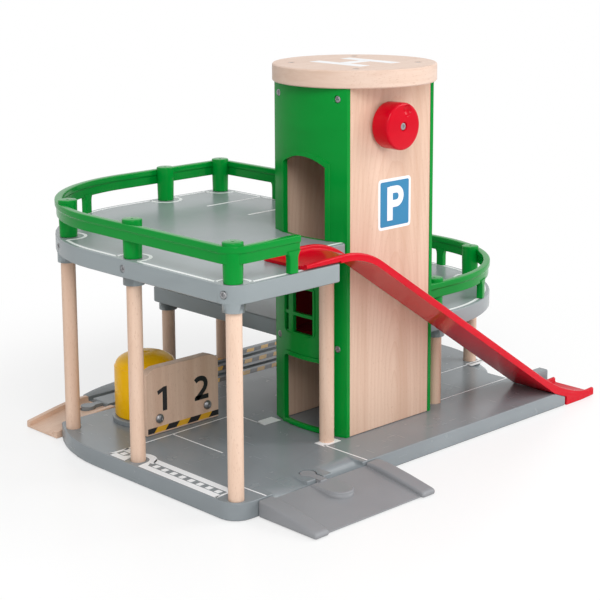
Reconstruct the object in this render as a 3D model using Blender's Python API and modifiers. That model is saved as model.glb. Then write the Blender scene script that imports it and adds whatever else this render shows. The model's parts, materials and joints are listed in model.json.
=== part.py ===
"""Toy parking garage: a base with a railway strip, two parking decks with railings, and a tower whose
crank winds a lift up and down. Metres, +Z up.

The plan is drawn from the axis of the front left post: +X runs along the front edge to the right and
+Y runs to the back. PLAN_CENTRE then moves the drawing so that the garage stands centred on the origin.
"""

import math

import bmesh
import bpy
from mathutils import Matrix, Vector

MM = 0.001

# Fits
GAP = 0.3 * MM  # between pieces that touch
RUN_GAP = 0.5 * MM  # round what turns or slides

# Levels
BASE_TOP = 12.7 * MM
DECK_THICK = 13.0 * MM
MID_TOP = 87.0 * MM
UPPER_TOP = 161.7 * MM
LID_TOP = 287.7 * MM

# Plan: the base and the decks share one outline of straight edges, small corners and two wide arcs
EDGE_LEFT = -10.0 * MM
EDGE_FRONT = -9.7 * MM
EDGE_BACK = 270.0 * MM
EDGE_RIGHT = 382.0 * MM
LEFT_RADIUS = 123.0 * MM
RIGHT_RADIUS = 113.0 * MM
CORNER_RADIUS = 15.0 * MM
EDGE_ROUND = 0.9 * MM
WING_SHORT = 30.0 * MM  # the base in front of the wide right arc ends this far short of its right edge
FRONT_WING_STEP = 8.0 * MM
KERB_ARM_REACH = 36.0 * MM  # a kerb that runs out beside the slide's foot
KERB_ARM_LOW_Y = 36.3 * MM
KERB_ARM_HIGH_Y = 45.7 * MM
EXIT_LANE_HIGH_Y = 93.4 * MM
MID_FRONT = 38.0 * MM
MID_LEFT = 145.5 * MM
UPPER_RIGHT = 224.0 * MM
UPPER_NOSE_RIGHT = 90.0 * MM  # the strip of the upper deck that carries the slide
UPPER_NOSE_BACK = 33.0 * MM

# Posts
POST_RADIUS = 5.5 * MM
POST_BOSS_RADIUS = 7.7 * MM
POST_BOSS_HEIGHT = 6.0 * MM
POST_SOCKET = 5.0 * MM
POST_SIDES = 20
POST_INSET = 10.0 * MM  # from the edges of the base
POST_FRONT_INSET = 9.7 * MM
POST_MIDDLE_Y = 106.0 * MM
POST_LEFT_ARC_INSET = 7.4 * MM
POST_LEFT_ARC_ANGLE = 154.0
POST_RIGHT_ARC_INSET = 7.9 * MM
POST_RIGHT_ARC_ANGLE = -27.8
POST_FRONT_OUT = 60.7 * MM  # from the tower's middle, to the left
POST_FRONT_BACK = 7.0 * MM  # from the tower's front
POST_SIDE_OUT = 65.3 * MM  # from the tower's middle, to the right
POST_SIDE_INSET = 8.0 * MM
POST_MID_INSET = 8.5 * MM
POST_CORNER_INSET = 11.0 * MM

# Tower
TOWER_X = 186.2 * MM
TOWER_Y = 71.75 * MM
PANEL_WIDTH = 87.4 * MM
PANEL_THICK = 9.0 * MM
TOWER_DEPTH = 76.5 * MM
SHELL_THICK = 3.0 * MM
SHELL_BULGE = 8.0 * MM
LID_RADIUS = 62.0 * MM
LID_THICK = 13.1 * MM
DOOR_WIDTH = 44.0 * MM
DOOR_SIDE_HEIGHT = 54.5 * MM
DOOR_ARCH_RISE = 6.5 * MM
DOOR_CORNER = 3.0 * MM
DOOR_GROUND_HEIGHT = 56.0 * MM
WINDOW_WIDTH = 21.0 * MM
WINDOW_SLIT = 3.7 * MM
WINDOW_OFFSET = 11.3 * MM  # from the tower's middle to the window's back edge
WINDOW_BAR = 2.5 * MM
WINDOW_POST = 6.0 * MM
WINDOW_LOW_HEIGHT = 13.0 * MM
WINDOW_HIGH_HEIGHT = 19.0 * MM
DOOR_RIM = 3.2 * MM
DOOR_RIM_PROUD = 1.2 * MM
SHELL_SCREW_DROP = 8.1 * MM  # the upper screws under the lid
SHELL_SCREW_LEFT_DROP = 6.5 * MM  # the lower screws under the middle deck's top
SHELL_SCREW_RIGHT_DROP = 27.0 * MM
SCREW_RADIUS = 2.6 * MM
SCREW_SIDES = 16
SCREW_HEAD_DEPTH = 2.0 * MM
SCREW_HEAD_THICK = 1.3 * MM
SHELL_SCREW_INSET = 7.5 * MM

# Crank and lift
CRANK_OFFSET = 6.2 * MM  # from the tower's middle, to the left
CRANK_DROP = 42.7 * MM  # under the lid's top
KNOB_RADIUS = 17.5 * MM
KNOB_THICK = 16.4 * MM
KNOB_ROUND = 1.6 * MM
KNOB_SOCKET = 10.0 * MM  # how deep the shaft sits in the knob
KNOB_SCREW_RADIUS = 2.6 * MM
KNOB_SCREW_SUNK = 0.7 * MM
KNOB_SCREW_THICK = 1.2 * MM
DIMPLE_RADIUS = 3.9 * MM
DIMPLE_DEPTH = 1.9 * MM
DIMPLE_RIGHT = 4.0 * MM  # from the knob's axis
DIMPLE_UP = 11.4 * MM
SHAFT_RADIUS = 2.5 * MM
BUSH_RADIUS = 5.0 * MM
BUSH_FLANGE = 7.0 * MM
BUSH_FLANGE_THICK = 1.6 * MM
DRUM_RADIUS = 5.2 * MM
DRUM_FLANGE = 12.0 * MM
DRUM_LENGTH = 14.0 * MM
CORD_RADIUS = 0.7 * MM
CABIN_OVER = 2.3 * MM  # how far it reaches past the panels' sides
CABIN_WALL = 2.0 * MM
CABIN_FLOOR = 2.0 * MM
CABIN_HEIGHT = 50.0 * MM
CABIN_FLOOR_DROP = 0.4 * MM  # the cabin floor stops this far under a deck
GUIDE_WIDTH = 5.0 * MM
GUIDE_DEPTH = 3.5 * MM

# Railings
RAIL_INSET = 1.2 * MM
RAIL_THICK = 3.4 * MM
RAIL_LIP = 1.1 * MM
RAIL_LOW = 13.6 * MM
RAIL_HIGH = 25.0 * MM
RAIL_SLIDE_SPACE = 5.0 * MM  # between the upper railing's end and the slide
RAIL_DECK_SPACE = 4.0 * MM  # between the middle railing's end and the upper deck
RAIL_LIP_HEIGHT = 4.0 * MM
STILE_RADIUS_LOW = 7.2 * MM
STILE_RADIUS_TOP = 6.2 * MM
STILE_HEIGHT = 27.6 * MM
STILE_INSET = 9.6 * MM
SLAT_WIDTH = 7.4 * MM
SLAT_DEPTH = 5.0 * MM
UPPER_SLAT_ANGLE = 103.0  # on the wide left arc
MID_SLAT_ANGLE = -67.0  # on the wide right arc
UPPER_SLAT_NEAR = 20.0 * MM  # from the tower's back
UPPER_SLAT_FAR = 74.0 * MM  # from the back edge
MID_STILE_REACH = 8.0 * MM  # from the start of the wide arc
MID_SLAT_RIGHT = 65.0 * MM  # from the back edge
MID_SLAT_BACK = 77.0 * MM  # from the middle railing's end

# Slide
SLIDE_WIDTH = 42.6 * MM
SLIDE_ON_DECK = 33.0 * MM
SLIDE_CREST_REACH = 24.3 * MM  # from the deck to where its level and its slope cross
SLIDE_BEND = 60.0 * MM
SLIDE_ON_BASE = 15.5 * MM
SLIDE_PAST_BASE = 37.0 * MM
SLIDE_FLOOR = 2.0 * MM
SLIDE_WALL_HEIGHT = 5.4 * MM
SLIDE_WALL_THICK = 3.2 * MM
SLIDE_LIP_DEPTH = 2.5 * MM
SLIDE_LIP_RISE = 1.4 * MM
SLIDE_HOOK = 5.0 * MM
FOOT_SEAT_DROP = 6.0 * MM  # how far the base's top falls under the slide's foot

# Front ramp and the road joint that it plugs into
RAMP_LEFT = 10.4 * MM
RAMP_WIDTH = 117.0 * MM
RAMP_LENGTH = 55.5 * MM
KERB_WIDTH = 13.0 * MM
KERB_TOP = 12.2 * MM
KERB_TIP = 4.6 * MM
LANE_LENGTH = 17.7 * MM
LANE_DROP = 2.9 * MM
LANE_INNER = 12.0 * MM  # from the joint's middle line
LANE_OUTER = 43.7 * MM
RAMP_TIP_THICK = 1.4 * MM
RAMP_TIP_INSET = 2.5 * MM
RAMP_FLOOR_LOW = 0.4 * MM
TONGUE_LENGTH = 29.0 * MM
TONGUE_TOP = 10.6 * MM
PEG_RADIUS = 5.6 * MM
PEG_NECK = 6.0 * MM
PEG_REACH = 12.0 * MM

# Railway strip and the ramp track
TRACK_INSET = 15.0 * MM  # from the back edge
TRACK_WIDTH = 40.0 * MM
TRACK_LEFT = 62.0 * MM
GROOVE_OFFSET = 13.0 * MM
GROOVE_WIDTH = 6.0 * MM
GROOVE_DEPTH = 3.0 * MM
TRACK_TIP = 5.0 * MM
TRACK_TIP_THICK = 1.6 * MM
TRACK_KERB = 4.5 * MM
TRACK_KERB_TOP = 13.4 * MM
TRACK_KERB_TIP = 5.2 * MM

# Bay wall and tank
WALL_LEFT = 34.5 * MM
WALL_RIGHT = 105.3 * MM
WALL_THICK = 8.0 * MM
WALL_TANK_SPACE = 3.6 * MM
WALL_TOP = 64.6 * MM
WALL_CORNER = 9.0 * MM
BOLT_RADIUS = 3.6 * MM
BOLT_RISE = 2.4 * MM
BOLT_SPACING = 47.0 * MM
BOLT_HEIGHT = 12.0 * MM
TANK_X = 63.5 * MM
TANK_TRACK_SPACE = 12.0 * MM
TANK_RADIUS = 24.0 * MM
TANK_SHOULDER = 56.5 * MM
TANK_TOP = 66.7 * MM
TANK_RING_RADIUS = 26.0 * MM
TANK_RING_HEIGHT = 4.0 * MM

FRONT_WING_RIGHT = EDGE_RIGHT - WING_SHORT
KERB_ARM_RIGHT = FRONT_WING_RIGHT + KERB_ARM_REACH
SLIDE_START = UPPER_NOSE_RIGHT - SLIDE_ON_DECK
SLIDE_CREST = UPPER_NOSE_RIGHT + SLIDE_CREST_REACH
SLIDE_FOOT = FRONT_WING_RIGHT - SLIDE_ON_BASE
SLIDE_TIP = FRONT_WING_RIGHT + SLIDE_PAST_BASE
PLAN_LOW_Y = EDGE_FRONT - GAP - RAMP_LENGTH
PLAN_CENTRE = Vector(((EDGE_LEFT + SLIDE_TIP) / 2, (PLAN_LOW_Y + EDGE_BACK) / 2, 0.0))

LEFT_ARC_X = EDGE_LEFT + LEFT_RADIUS
LEFT_ARC_Y = EDGE_BACK - LEFT_RADIUS
RIGHT_ARC_X = EDGE_RIGHT - RIGHT_RADIUS
RIGHT_ARC_Y = MID_FRONT + RIGHT_RADIUS
MID_BOTTOM = MID_TOP - DECK_THICK
UPPER_BOTTOM = UPPER_TOP - DECK_THICK
TOWER_FRONT = TOWER_Y - TOWER_DEPTH / 2
TOWER_BACK = TOWER_Y + TOWER_DEPTH / 2
LID_BOTTOM = LID_TOP - LID_THICK
SHELL_TOP = LID_BOTTOM - GAP
RAMP_MIDDLE = RAMP_LEFT + RAMP_WIDTH / 2
CABIN_WIDTH = PANEL_WIDTH + 2 * CABIN_OVER
CRANK_X = TOWER_X - CRANK_OFFSET
CRANK_Z = LID_TOP - CRANK_DROP
UPPER_RAIL_END = SLIDE_START - RAIL_SLIDE_SPACE
MID_RAIL_END = UPPER_RIGHT + RAIL_DECK_SPACE
TRACK_Y = EDGE_BACK - TRACK_INSET - TRACK_WIDTH / 2
TANK_Y = TRACK_Y - TRACK_WIDTH / 2 - TANK_TRACK_SPACE - TANK_RING_RADIUS
WALL_FRONT = TANK_Y - TANK_RING_RADIUS - WALL_TANK_SPACE - WALL_THICK
SHELL_SCREW_HIGH = LID_BOTTOM - SHELL_SCREW_DROP
SHELL_SCREW_HEIGHTS = {
    -1: (MID_TOP - SHELL_SCREW_LEFT_DROP, SHELL_SCREW_HIGH),
    1: (MID_TOP - SHELL_SCREW_RIGHT_DROP, SHELL_SCREW_HIGH),
}


def on_arc(centre_x, centre_y, radius, angle):
    """The point of an arc at an angle in degrees."""
    turn = math.radians(angle)
    return (centre_x + radius * math.cos(turn), centre_y + radius * math.sin(turn))


def on_left_arc(angle, inset):
    """The point of the wide left arc at an angle."""
    return on_arc(LEFT_ARC_X, LEFT_ARC_Y, LEFT_RADIUS - inset, angle)


def on_right_arc(angle, inset):
    """The point of the wide right arc at an angle."""
    return on_arc(RIGHT_ARC_X, RIGHT_ARC_Y, RIGHT_RADIUS - inset, angle)


POSTS_UPPER = {
    "post_back_left": on_left_arc(POST_LEFT_ARC_ANGLE, POST_LEFT_ARC_INSET),
    "post_middle_left": (EDGE_LEFT + POST_INSET, POST_MIDDLE_Y),
    "post_front_left": (EDGE_LEFT + POST_INSET, EDGE_FRONT + POST_FRONT_INSET),
    "post_front_right": (TOWER_X - POST_FRONT_OUT, TOWER_FRONT + POST_FRONT_BACK),
}
POSTS_MID = {
    "post_rear_left": (MID_LEFT + POST_MID_INSET, EDGE_BACK - POST_INSET),
    "post_rear_middle": (UPPER_RIGHT - POST_INSET, EDGE_BACK - POST_INSET),
    "post_tower_side": (TOWER_X + POST_SIDE_OUT, MID_FRONT + POST_SIDE_INSET),
    "post_right": on_right_arc(POST_RIGHT_ARC_ANGLE, POST_RIGHT_ARC_INSET),
    "post_back_right": (EDGE_RIGHT - POST_CORNER_INSET, EDGE_BACK - POST_CORNER_INSET),
}
POSTS_TOP = {  # short ones, from the middle deck to the upper deck
    "post_top_left": POSTS_MID["post_rear_left"],
    "post_top_middle": POSTS_MID["post_rear_middle"],
}

for leftover in list(bpy.data.objects):
    bpy.data.objects.remove(leftover)

parts = bpy.data.collections.new("toy_parking_garage")
cutters = bpy.data.collections.new("cutters")
bpy.context.scene.collection.children.link(parts)
bpy.context.scene.collection.children.link(cutters)


def material(name, colour, roughness, metallic=0.0):
    """A plain Principled material."""
    made = bpy.data.materials.new(name)
    made.use_nodes = True
    shader = made.node_tree.nodes["Principled BSDF"]
    shader.inputs["Base Color"].default_value = (*colour, 1.0)
    shader.inputs["Roughness"].default_value = roughness
    shader.inputs["Metallic"].default_value = metallic
    return made


GREY = material("grey_plastic", (0.29, 0.31, 0.34), 0.35)
LIGHT_GREY = material("light_grey_plastic", (0.36, 0.40, 0.43), 0.4)
GREEN = material("green_plastic", (0.0, 0.30, 0.05), 0.3)
RED = material("red_plastic", (0.75, 0.01, 0.03), 0.3)
DARK_RED = material("dark_red_plastic", (0.25, 0.01, 0.02), 0.4)
YELLOW = material("yellow_plastic", (0.9, 0.45, 0.0), 0.35)
BEECH = material("beech", (0.68, 0.47, 0.33), 0.55)
STEEL = material("steel", (0.6, 0.6, 0.6), 0.25, 1.0)
CORD = material("cord", (0.05, 0.05, 0.05), 0.8)


def dress(obj, look):
    """Gives obj its material and its place in the parts collection."""
    obj.data.materials.clear()
    obj.data.materials.append(look)
    parts.objects.link(obj)
    return obj


def mesh_object(name, mesh, look=None):
    """An object at the drawing's offset. Without a look it is a cutter."""
    obj = bpy.data.objects.new(name, mesh)
    obj.location = -PLAN_CENTRE
    if look is not None:
        return dress(obj, look)
    obj.hide_render = True
    obj.display_type = "WIRE"
    cutters.objects.link(obj)
    return obj


def smooth(obj, angle=35.0):
    """Shades the round faces smooth."""
    obj.data.shade_smooth()
    obj.data.set_sharp_from_angle(angle=math.radians(angle))
    return obj


def move_origin(obj, point):
    """Puts the object's origin on a point of the drawing, and leaves its shape where it is."""
    offset = Vector(point)
    obj.data.transform(Matrix.Translation(-offset))
    obj.location = offset - PLAN_CENTRE
    return obj


def bevel(obj, width, segments=1, angle=40.0):
    """Rounds the sharp edges."""
    made = obj.modifiers.new("edges", "BEVEL")
    made.width = width
    made.segments = segments
    made.limit_method = "ANGLE"
    made.angle_limit = math.radians(angle)
    made.harden_normals = False
    return obj


def facet(obj):
    """Splits the faces into triangles, which long Boolean chains handle best."""
    obj.modifiers.new("facets", "TRIANGULATE")
    return obj


def cut(obj, *tools):
    """Cuts each tool from obj."""
    for tool in tools:
        made = obj.modifiers.new("cut_" + tool.name, "BOOLEAN")
        made.operation = "DIFFERENCE"
        made.object = tool
    return obj


def join(obj, *tools):
    """Joins each tool to obj."""
    for tool in tools:
        made = obj.modifiers.new("join_" + tool.name, "BOOLEAN")
        made.operation = "UNION"
        made.object = tool
    return obj


def box(name, low, high, look=None):
    """A box between two corners."""
    low, high = Vector(low), Vector(high)
    bm = bmesh.new()
    bmesh.ops.create_cube(bm, size=1.0)
    bmesh.ops.scale(bm, vec=high - low, verts=bm.verts)
    bmesh.ops.translate(bm, vec=(low + high) / 2, verts=bm.verts)
    mesh = bpy.data.meshes.new(name)
    bm.to_mesh(mesh)
    bm.free()
    return mesh_object(name, mesh, look)


def rod(name, centre, axis, radius, length, look=None, sides=32, radius_end=None):
    """A cylinder or cone from centre along the axis "X", "Y" or "Z"."""
    turn = {
        "X": Matrix.Rotation(math.pi / 2, 4, "Y"),
        "Y": Matrix.Rotation(-math.pi / 2, 4, "X"),
        "Z": Matrix.Identity(4),
    }[axis]
    bm = bmesh.new()
    bmesh.ops.create_cone(
        bm,
        cap_ends=True,
        segments=sides,
        radius1=radius,
        radius2=radius if radius_end is None else radius_end,
        depth=length,
        matrix=Matrix.Translation(centre) @ turn @ Matrix.Translation((0, 0, length / 2)),
    )
    mesh = bpy.data.meshes.new(name)
    bm.to_mesh(mesh)
    bm.free()
    return mesh_object(name, mesh, look)


def extruded(name, outline, low, high, look=None, plane="XY"):
    """A flat outline, made solid between two levels across its plane."""
    curve = bpy.data.curves.new(name, "CURVE")
    curve.dimensions = "2D"
    curve.fill_mode = "BOTH"
    curve.extrude = (high - low) / 2
    spline = curve.splines.new("POLY")
    spline.points.add(len(outline) - 1)
    for point, (u, v) in zip(spline.points, outline):
        point.co = (u, v, 0.0, 1.0)
    spline.use_cyclic_u = True
    guide = bpy.data.objects.new(name + "_curve", curve)
    cutters.objects.link(guide)
    bpy.context.view_layer.update()
    graph = bpy.context.evaluated_depsgraph_get()
    mesh = bpy.data.meshes.new_from_object(guide.evaluated_get(graph))
    mesh.name = name
    bpy.data.objects.remove(guide)
    bm = bmesh.new()
    bm.from_mesh(mesh)
    bmesh.ops.remove_doubles(bm, verts=bm.verts, dist=1e-6)
    bmesh.ops.dissolve_limit(bm, angle_limit=math.radians(0.1), verts=bm.verts, edges=bm.edges)
    middle = (low + high) / 2
    place = {
        "XY": Matrix.Translation((0, 0, middle)),
        "XZ": Matrix.Translation((0, middle, 0)) @ Matrix.Rotation(math.pi / 2, 4, "X"),
        "YZ": Matrix.Translation((middle, 0, 0))
        @ Matrix(((0, 0, 1, 0), (1, 0, 0, 0), (0, 1, 0, 0), (0, 0, 0, 1))),
    }[plane]
    bm.transform(place)
    bmesh.ops.recalc_face_normals(bm, faces=bm.faces)
    if bm.calc_volume(signed=True) < 0:
        bmesh.ops.reverse_faces(bm, faces=bm.faces)
    bm.to_mesh(mesh)
    bm.free()
    return mesh_object(name, mesh, look)


def turned(name, centre, profile, look=None, steps=40):
    """A profile of (radius, height) points, from the axis at the top down the outside, turned about Z."""
    bm = bmesh.new()
    corners = [bm.verts.new((radius, 0.0, height)) for radius, height in profile]
    for first, second in zip(corners, corners[1:]):
        bm.edges.new((first, second))
    mesh = bpy.data.meshes.new(name)
    bm.to_mesh(mesh)
    bm.free()
    obj = mesh_object(name, mesh, look)
    obj.location = Vector(centre) - PLAN_CENTRE
    screw = obj.modifiers.new("turn", "SCREW")
    screw.steps = steps
    screw.render_steps = steps
    screw.use_merge_vertices = True
    screw.merge_threshold = 0.00005
    screw.use_smooth_shade = True
    return obj


def arc(centre_x, centre_y, radius, start, end, steps):
    """Points of an arc, angles in degrees."""
    angles = [math.radians(start + (end - start) * k / steps) for k in range(steps + 1)]
    return [(centre_x + radius * math.cos(a), centre_y + radius * math.sin(a)) for a in angles]


def left_arc(inset, start=180.0, end=90.0, steps=16):
    """The wide arc at the back left, moved inwards."""
    return arc(LEFT_ARC_X, LEFT_ARC_Y, LEFT_RADIUS - inset, start, end, steps)


def right_arc(inset, start=-90.0, end=0.0, steps=16):
    """The wide arc at the right, moved inwards."""
    return arc(RIGHT_ARC_X, RIGHT_ARC_Y, RIGHT_RADIUS - inset, start, end, steps)


def left_edge(y):
    """Where the left edge of the base and the upper deck lies at y."""
    if y < LEFT_ARC_Y:
        return EDGE_LEFT
    return LEFT_ARC_X - math.sqrt(LEFT_RADIUS**2 - (y - LEFT_ARC_Y) ** 2)


def corner(x, y, radius, start, steps=5):
    """A quarter turn inside the corner (x, y), from the start angle, turning left."""
    ways = {180: (1, 1), 270: (-1, 1), 0: (-1, -1), 90: (1, -1)}
    side_x, side_y = ways[start]
    return arc(x + side_x * radius, y + side_y * radius, radius, start, start + 90.0, steps)


def shell_x(y, inset=0.0):
    """How far the bulged side of the tower lies from the tower's middle, at y."""
    half = TOWER_DEPTH / 2
    radius = (half**2 + SHELL_BULGE**2) / (2 * SHELL_BULGE)
    end_x = PANEL_WIDTH / 2 + SHELL_THICK
    return end_x + math.sqrt((radius - inset) ** 2 - (y - TOWER_Y) ** 2) - (radius - SHELL_BULGE)


def shell_line(side, low, high, inset=0.0, steps=16):
    """Points up the bulged side of the tower between two y values. side is -1 left, 1 right."""
    ys = [low + (high - low) * k / steps for k in range(steps + 1)]
    return [(TOWER_X + side * shell_x(y, inset), y) for y in ys]


def tower_notch(grow):
    """A cutter's outline of the tower, grown by a clearance, in turning order."""
    low, high = TOWER_FRONT - grow, TOWER_BACK + grow
    inner = [TOWER_FRONT + (TOWER_BACK - TOWER_FRONT) * k / 16 for k in range(17)]
    left = [(TOWER_X - shell_x(y) - grow, y) for y in inner]
    right = [(TOWER_X + shell_x(y) + grow, y) for y in inner]
    start = TOWER_X - PANEL_WIDTH / 2 - SHELL_THICK - grow
    end = TOWER_X + PANEL_WIDTH / 2 + SHELL_THICK + grow
    return [(start, low), (end, low), *right, (end, high), (start, high), *reversed(left)]


def joint_slot(name, x, y, direction, grow, low, high, reach):
    """The round head and neck of a track or road joint as a solid. direction is +1 or -1 along X or Y."""
    head = rod(name + "_head", (x, y, low), "Z", PEG_RADIUS + grow, high - low, sides=32)
    half = PEG_NECK / 2 + grow
    if direction in ("-Y", "+Y"):
        sign = -1 if direction == "-Y" else 1
        ends = sorted((y, y + sign * reach))
        neck = box(name + "_neck", (x - half, ends[0], low), (x + half, ends[1], high))
    else:
        sign = -1 if direction == "-X" else 1
        ends = sorted((x, x + sign * reach))
        neck = box(name + "_neck", (ends[0], y - half, low), (ends[1], y + half, high))
    return head, neck


def post_sockets(name, places, face, depth):
    """Blind holes for posts, downwards from a face or, with a negative depth, upwards."""
    made = []
    for post, (x, y) in places.items():
        low = min(face, face - depth)
        hole = rod(f"{name}_{post}", (x, y, low), "Z", POST_RADIUS + GAP, abs(depth), sides=POST_SIDES)
        made.append(hole)
    return made


def make_base():
    """The base: a thick plate with sockets, road lanes, the railway strip and its peg."""
    outline = [
        *corner(EDGE_LEFT, EDGE_FRONT, CORNER_RADIUS, 180),
        *corner(FRONT_WING_RIGHT, EDGE_FRONT, 2 * MM, 270, 2),
        (FRONT_WING_RIGHT, KERB_ARM_LOW_Y),
        (KERB_ARM_RIGHT, KERB_ARM_LOW_Y),
        (KERB_ARM_RIGHT, KERB_ARM_HIGH_Y),
        (FRONT_WING_RIGHT - FRONT_WING_STEP, KERB_ARM_HIGH_Y),
    ]
    exit_x = FRONT_WING_RIGHT - FRONT_WING_STEP
    wing_angle = math.degrees(math.acos((exit_x - RIGHT_ARC_X) / RIGHT_RADIUS))
    outline += right_arc(0.0, -wing_angle, 0.0, 9)
    outline += corner(EDGE_RIGHT, EDGE_BACK, CORNER_RADIUS, 0)
    strip_angle = math.degrees(math.acos((LEFT_ARC_X - TRACK_LEFT) / LEFT_RADIUS))
    outline += left_arc(0.0, 90.0, 180.0 - strip_angle, 4)
    notch_y = TRACK_Y - TRACK_WIDTH / 2 - GAP
    notch_angle = math.degrees(math.asin((notch_y - LEFT_ARC_Y) / LEFT_RADIUS))
    outline += [(TRACK_LEFT, notch_y)]
    outline += left_arc(0.0, 180.0 - notch_angle, 180.0, 6)
    base = extruded("base_plate", outline, 0.0, BASE_TOP, GREY)
    bevel(base, EDGE_ROUND)
    over = BASE_TOP + 2 * MM
    lanes = []
    for side in (-1, 1):
        near, far = sorted((RAMP_MIDDLE + side * LANE_INNER, RAMP_MIDDLE + side * LANE_OUTER))
        seam = EDGE_FRONT - 1 * MM
        slope = LANE_DROP / LANE_LENGTH
        wedge = [
            (seam, BASE_TOP - LANE_DROP - slope * MM),
            (EDGE_FRONT + LANE_LENGTH, BASE_TOP),
            (EDGE_FRONT + LANE_LENGTH, over),
            (seam, over),
        ]
        lanes.append(extruded(f"cut_lane_{side}", wedge, near, far, plane="YZ"))
    exit_wedge = [
        (exit_x, BASE_TOP),
        (EDGE_RIGHT, BASE_TOP - 2 * LANE_DROP),
        (EDGE_RIGHT, over),
        (exit_x, over),
    ]
    exit_lane = extruded(
        "cut_exit_lane", exit_wedge, KERB_ARM_HIGH_Y + 1 * MM, EXIT_LANE_HIGH_Y, plane="XZ"
    )
    seat_wedge = [
        (SLIDE_FOOT, BASE_TOP),
        (FRONT_WING_RIGHT, BASE_TOP - FOOT_SEAT_DROP),
        (FRONT_WING_RIGHT + 1 * MM, BASE_TOP - FOOT_SEAT_DROP),
        (FRONT_WING_RIGHT + 1 * MM, over),
        (SLIDE_FOOT, over),
    ]
    foot_seat = extruded(
        "cut_foot_seat", seat_wedge, EDGE_FRONT - 1 * MM, KERB_ARM_LOW_Y - 1 * MM, plane="XZ"
    )
    slot = joint_slot(
        "cut_road_socket", RAMP_MIDDLE, EDGE_FRONT + PEG_REACH, "-Y", GAP + 0.5 * MM, -1 * MM, over, 20 * MM
    )
    grooves = [
        box(
            f"cut_groove_{side}",
            (TRACK_LEFT - 1 * MM, TRACK_Y + side * GROOVE_OFFSET - GROOVE_WIDTH / 2, BASE_TOP - GROOVE_DEPTH),
            (EDGE_RIGHT + 1 * MM, TRACK_Y + side * GROOVE_OFFSET + GROOVE_WIDTH / 2, over),
        )
        for side in (-1, 1)
    ]
    end_slot = joint_slot(
        "cut_strip_socket", EDGE_RIGHT - PEG_REACH, TRACK_Y, "+X", GAP + 0.5 * MM, -1 * MM, over, 20 * MM
    )
    places = {**POSTS_UPPER, **POSTS_MID}
    sockets = post_sockets("cut_base", places, over, over - BASE_TOP + POST_SOCKET)
    peg = joint_slot(
        "join_strip_peg", TRACK_LEFT - PEG_REACH, TRACK_Y, "+X", 0.0, 3.0 * MM, BASE_TOP - 0.6 * MM, 20 * MM
    )
    join(base, *peg)
    cut(base, *lanes, exit_lane, foot_seat, *slot, *grooves, *end_slot, *sockets)
    return smooth(base)


def make_upper_deck():
    """The upper deck: a left part, a nose for the slide, and a part behind the tower."""
    tower_left = TOWER_X - PANEL_WIDTH / 2 - SHELL_THICK
    outline = [
        *corner(EDGE_LEFT, EDGE_FRONT, CORNER_RADIUS, 180),
        *corner(UPPER_NOSE_RIGHT, EDGE_FRONT, 2 * MM, 270, 2),
        *reversed(arc(UPPER_NOSE_RIGHT + 6 * MM, UPPER_NOSE_BACK - 6 * MM, 6 * MM, 90.0, 180.0, 4)),
        (tower_left - 2 * MM, UPPER_NOSE_BACK),
        (tower_left - 2 * MM, TOWER_FRONT + 1 * MM),
        (TOWER_X, TOWER_FRONT + 5 * MM),
        (UPPER_RIGHT, TOWER_Y),
        *corner(UPPER_RIGHT, EDGE_BACK, CORNER_RADIUS, 0),
        *left_arc(0.0, 90.0, 180.0),
    ]
    deck = extruded("upper_deck", outline, UPPER_BOTTOM, UPPER_TOP, LIGHT_GREY)
    facet(bevel(deck, EDGE_ROUND))
    bosses = [
        rod(
            f"join_upper_boss_{post}",
            (x, y, UPPER_BOTTOM - POST_BOSS_HEIGHT),
            "Z",
            POST_BOSS_RADIUS,
            POST_BOSS_HEIGHT + 2 * MM,
            sides=POST_SIDES,
        )
        for post, (x, y) in {**POSTS_UPPER, **POSTS_TOP}.items()
    ]
    notch = extruded("cut_upper_tower", tower_notch(GAP), UPPER_BOTTOM - 9 * MM, UPPER_TOP + 2 * MM)
    cut(deck, notch)
    join(deck, *bosses)
    low = UPPER_BOTTOM - POST_BOSS_HEIGHT - 1 * MM
    places = {**POSTS_UPPER, **POSTS_TOP}
    sockets = post_sockets("cut_upper", places, low, -(POST_SOCKET + 1 * MM))
    recesses = [
        rod(
            f"cut_upper_{name}",
            (left_edge(y) - 2 * MM, y, z),
            "X",
            SCREW_RADIUS + GAP,
            2 * MM + SCREW_HEAD_DEPTH,
            sides=SCREW_SIDES,
        )
        for name, y, z in deck_screw_places()
    ]
    cut(deck, *sockets, *recesses)
    return smooth(deck)


def make_mid_deck():
    """The middle deck: behind the tower and to its right."""
    outline = [
        (MID_LEFT, TOWER_Y),
        (TOWER_X, TOWER_Y),
        (TOWER_X + PANEL_WIDTH / 2 - 5 * MM, MID_FRONT),
        *right_arc(0.0),
        *corner(EDGE_RIGHT, EDGE_BACK, CORNER_RADIUS, 0),
        *corner(MID_LEFT, EDGE_BACK, 2 * MM, 90, 2),
    ]
    deck = extruded("middle_deck", outline, MID_BOTTOM, MID_TOP, LIGHT_GREY)
    bevel(deck, EDGE_ROUND)
    bosses = [
        rod(
            f"join_mid_boss_{post}",
            (x, y, MID_BOTTOM - POST_BOSS_HEIGHT),
            "Z",
            POST_BOSS_RADIUS,
            POST_BOSS_HEIGHT + 2 * MM,
            sides=POST_SIDES,
        )
        for post, (x, y) in POSTS_MID.items()
    ]
    join(deck, *bosses)
    notch = extruded("cut_mid_tower", tower_notch(GAP), MID_BOTTOM - 9 * MM, MID_TOP + 2 * MM)
    low = MID_BOTTOM - POST_BOSS_HEIGHT - 1 * MM
    sockets = post_sockets("cut_mid", POSTS_MID, low, -(POST_SOCKET + 1 * MM))
    over = MID_TOP + 1 * MM
    sockets += post_sockets("cut_mid_top", POSTS_TOP, over, over - MID_TOP + POST_SOCKET)
    cut(deck, notch, *sockets)
    return smooth(deck)


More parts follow.
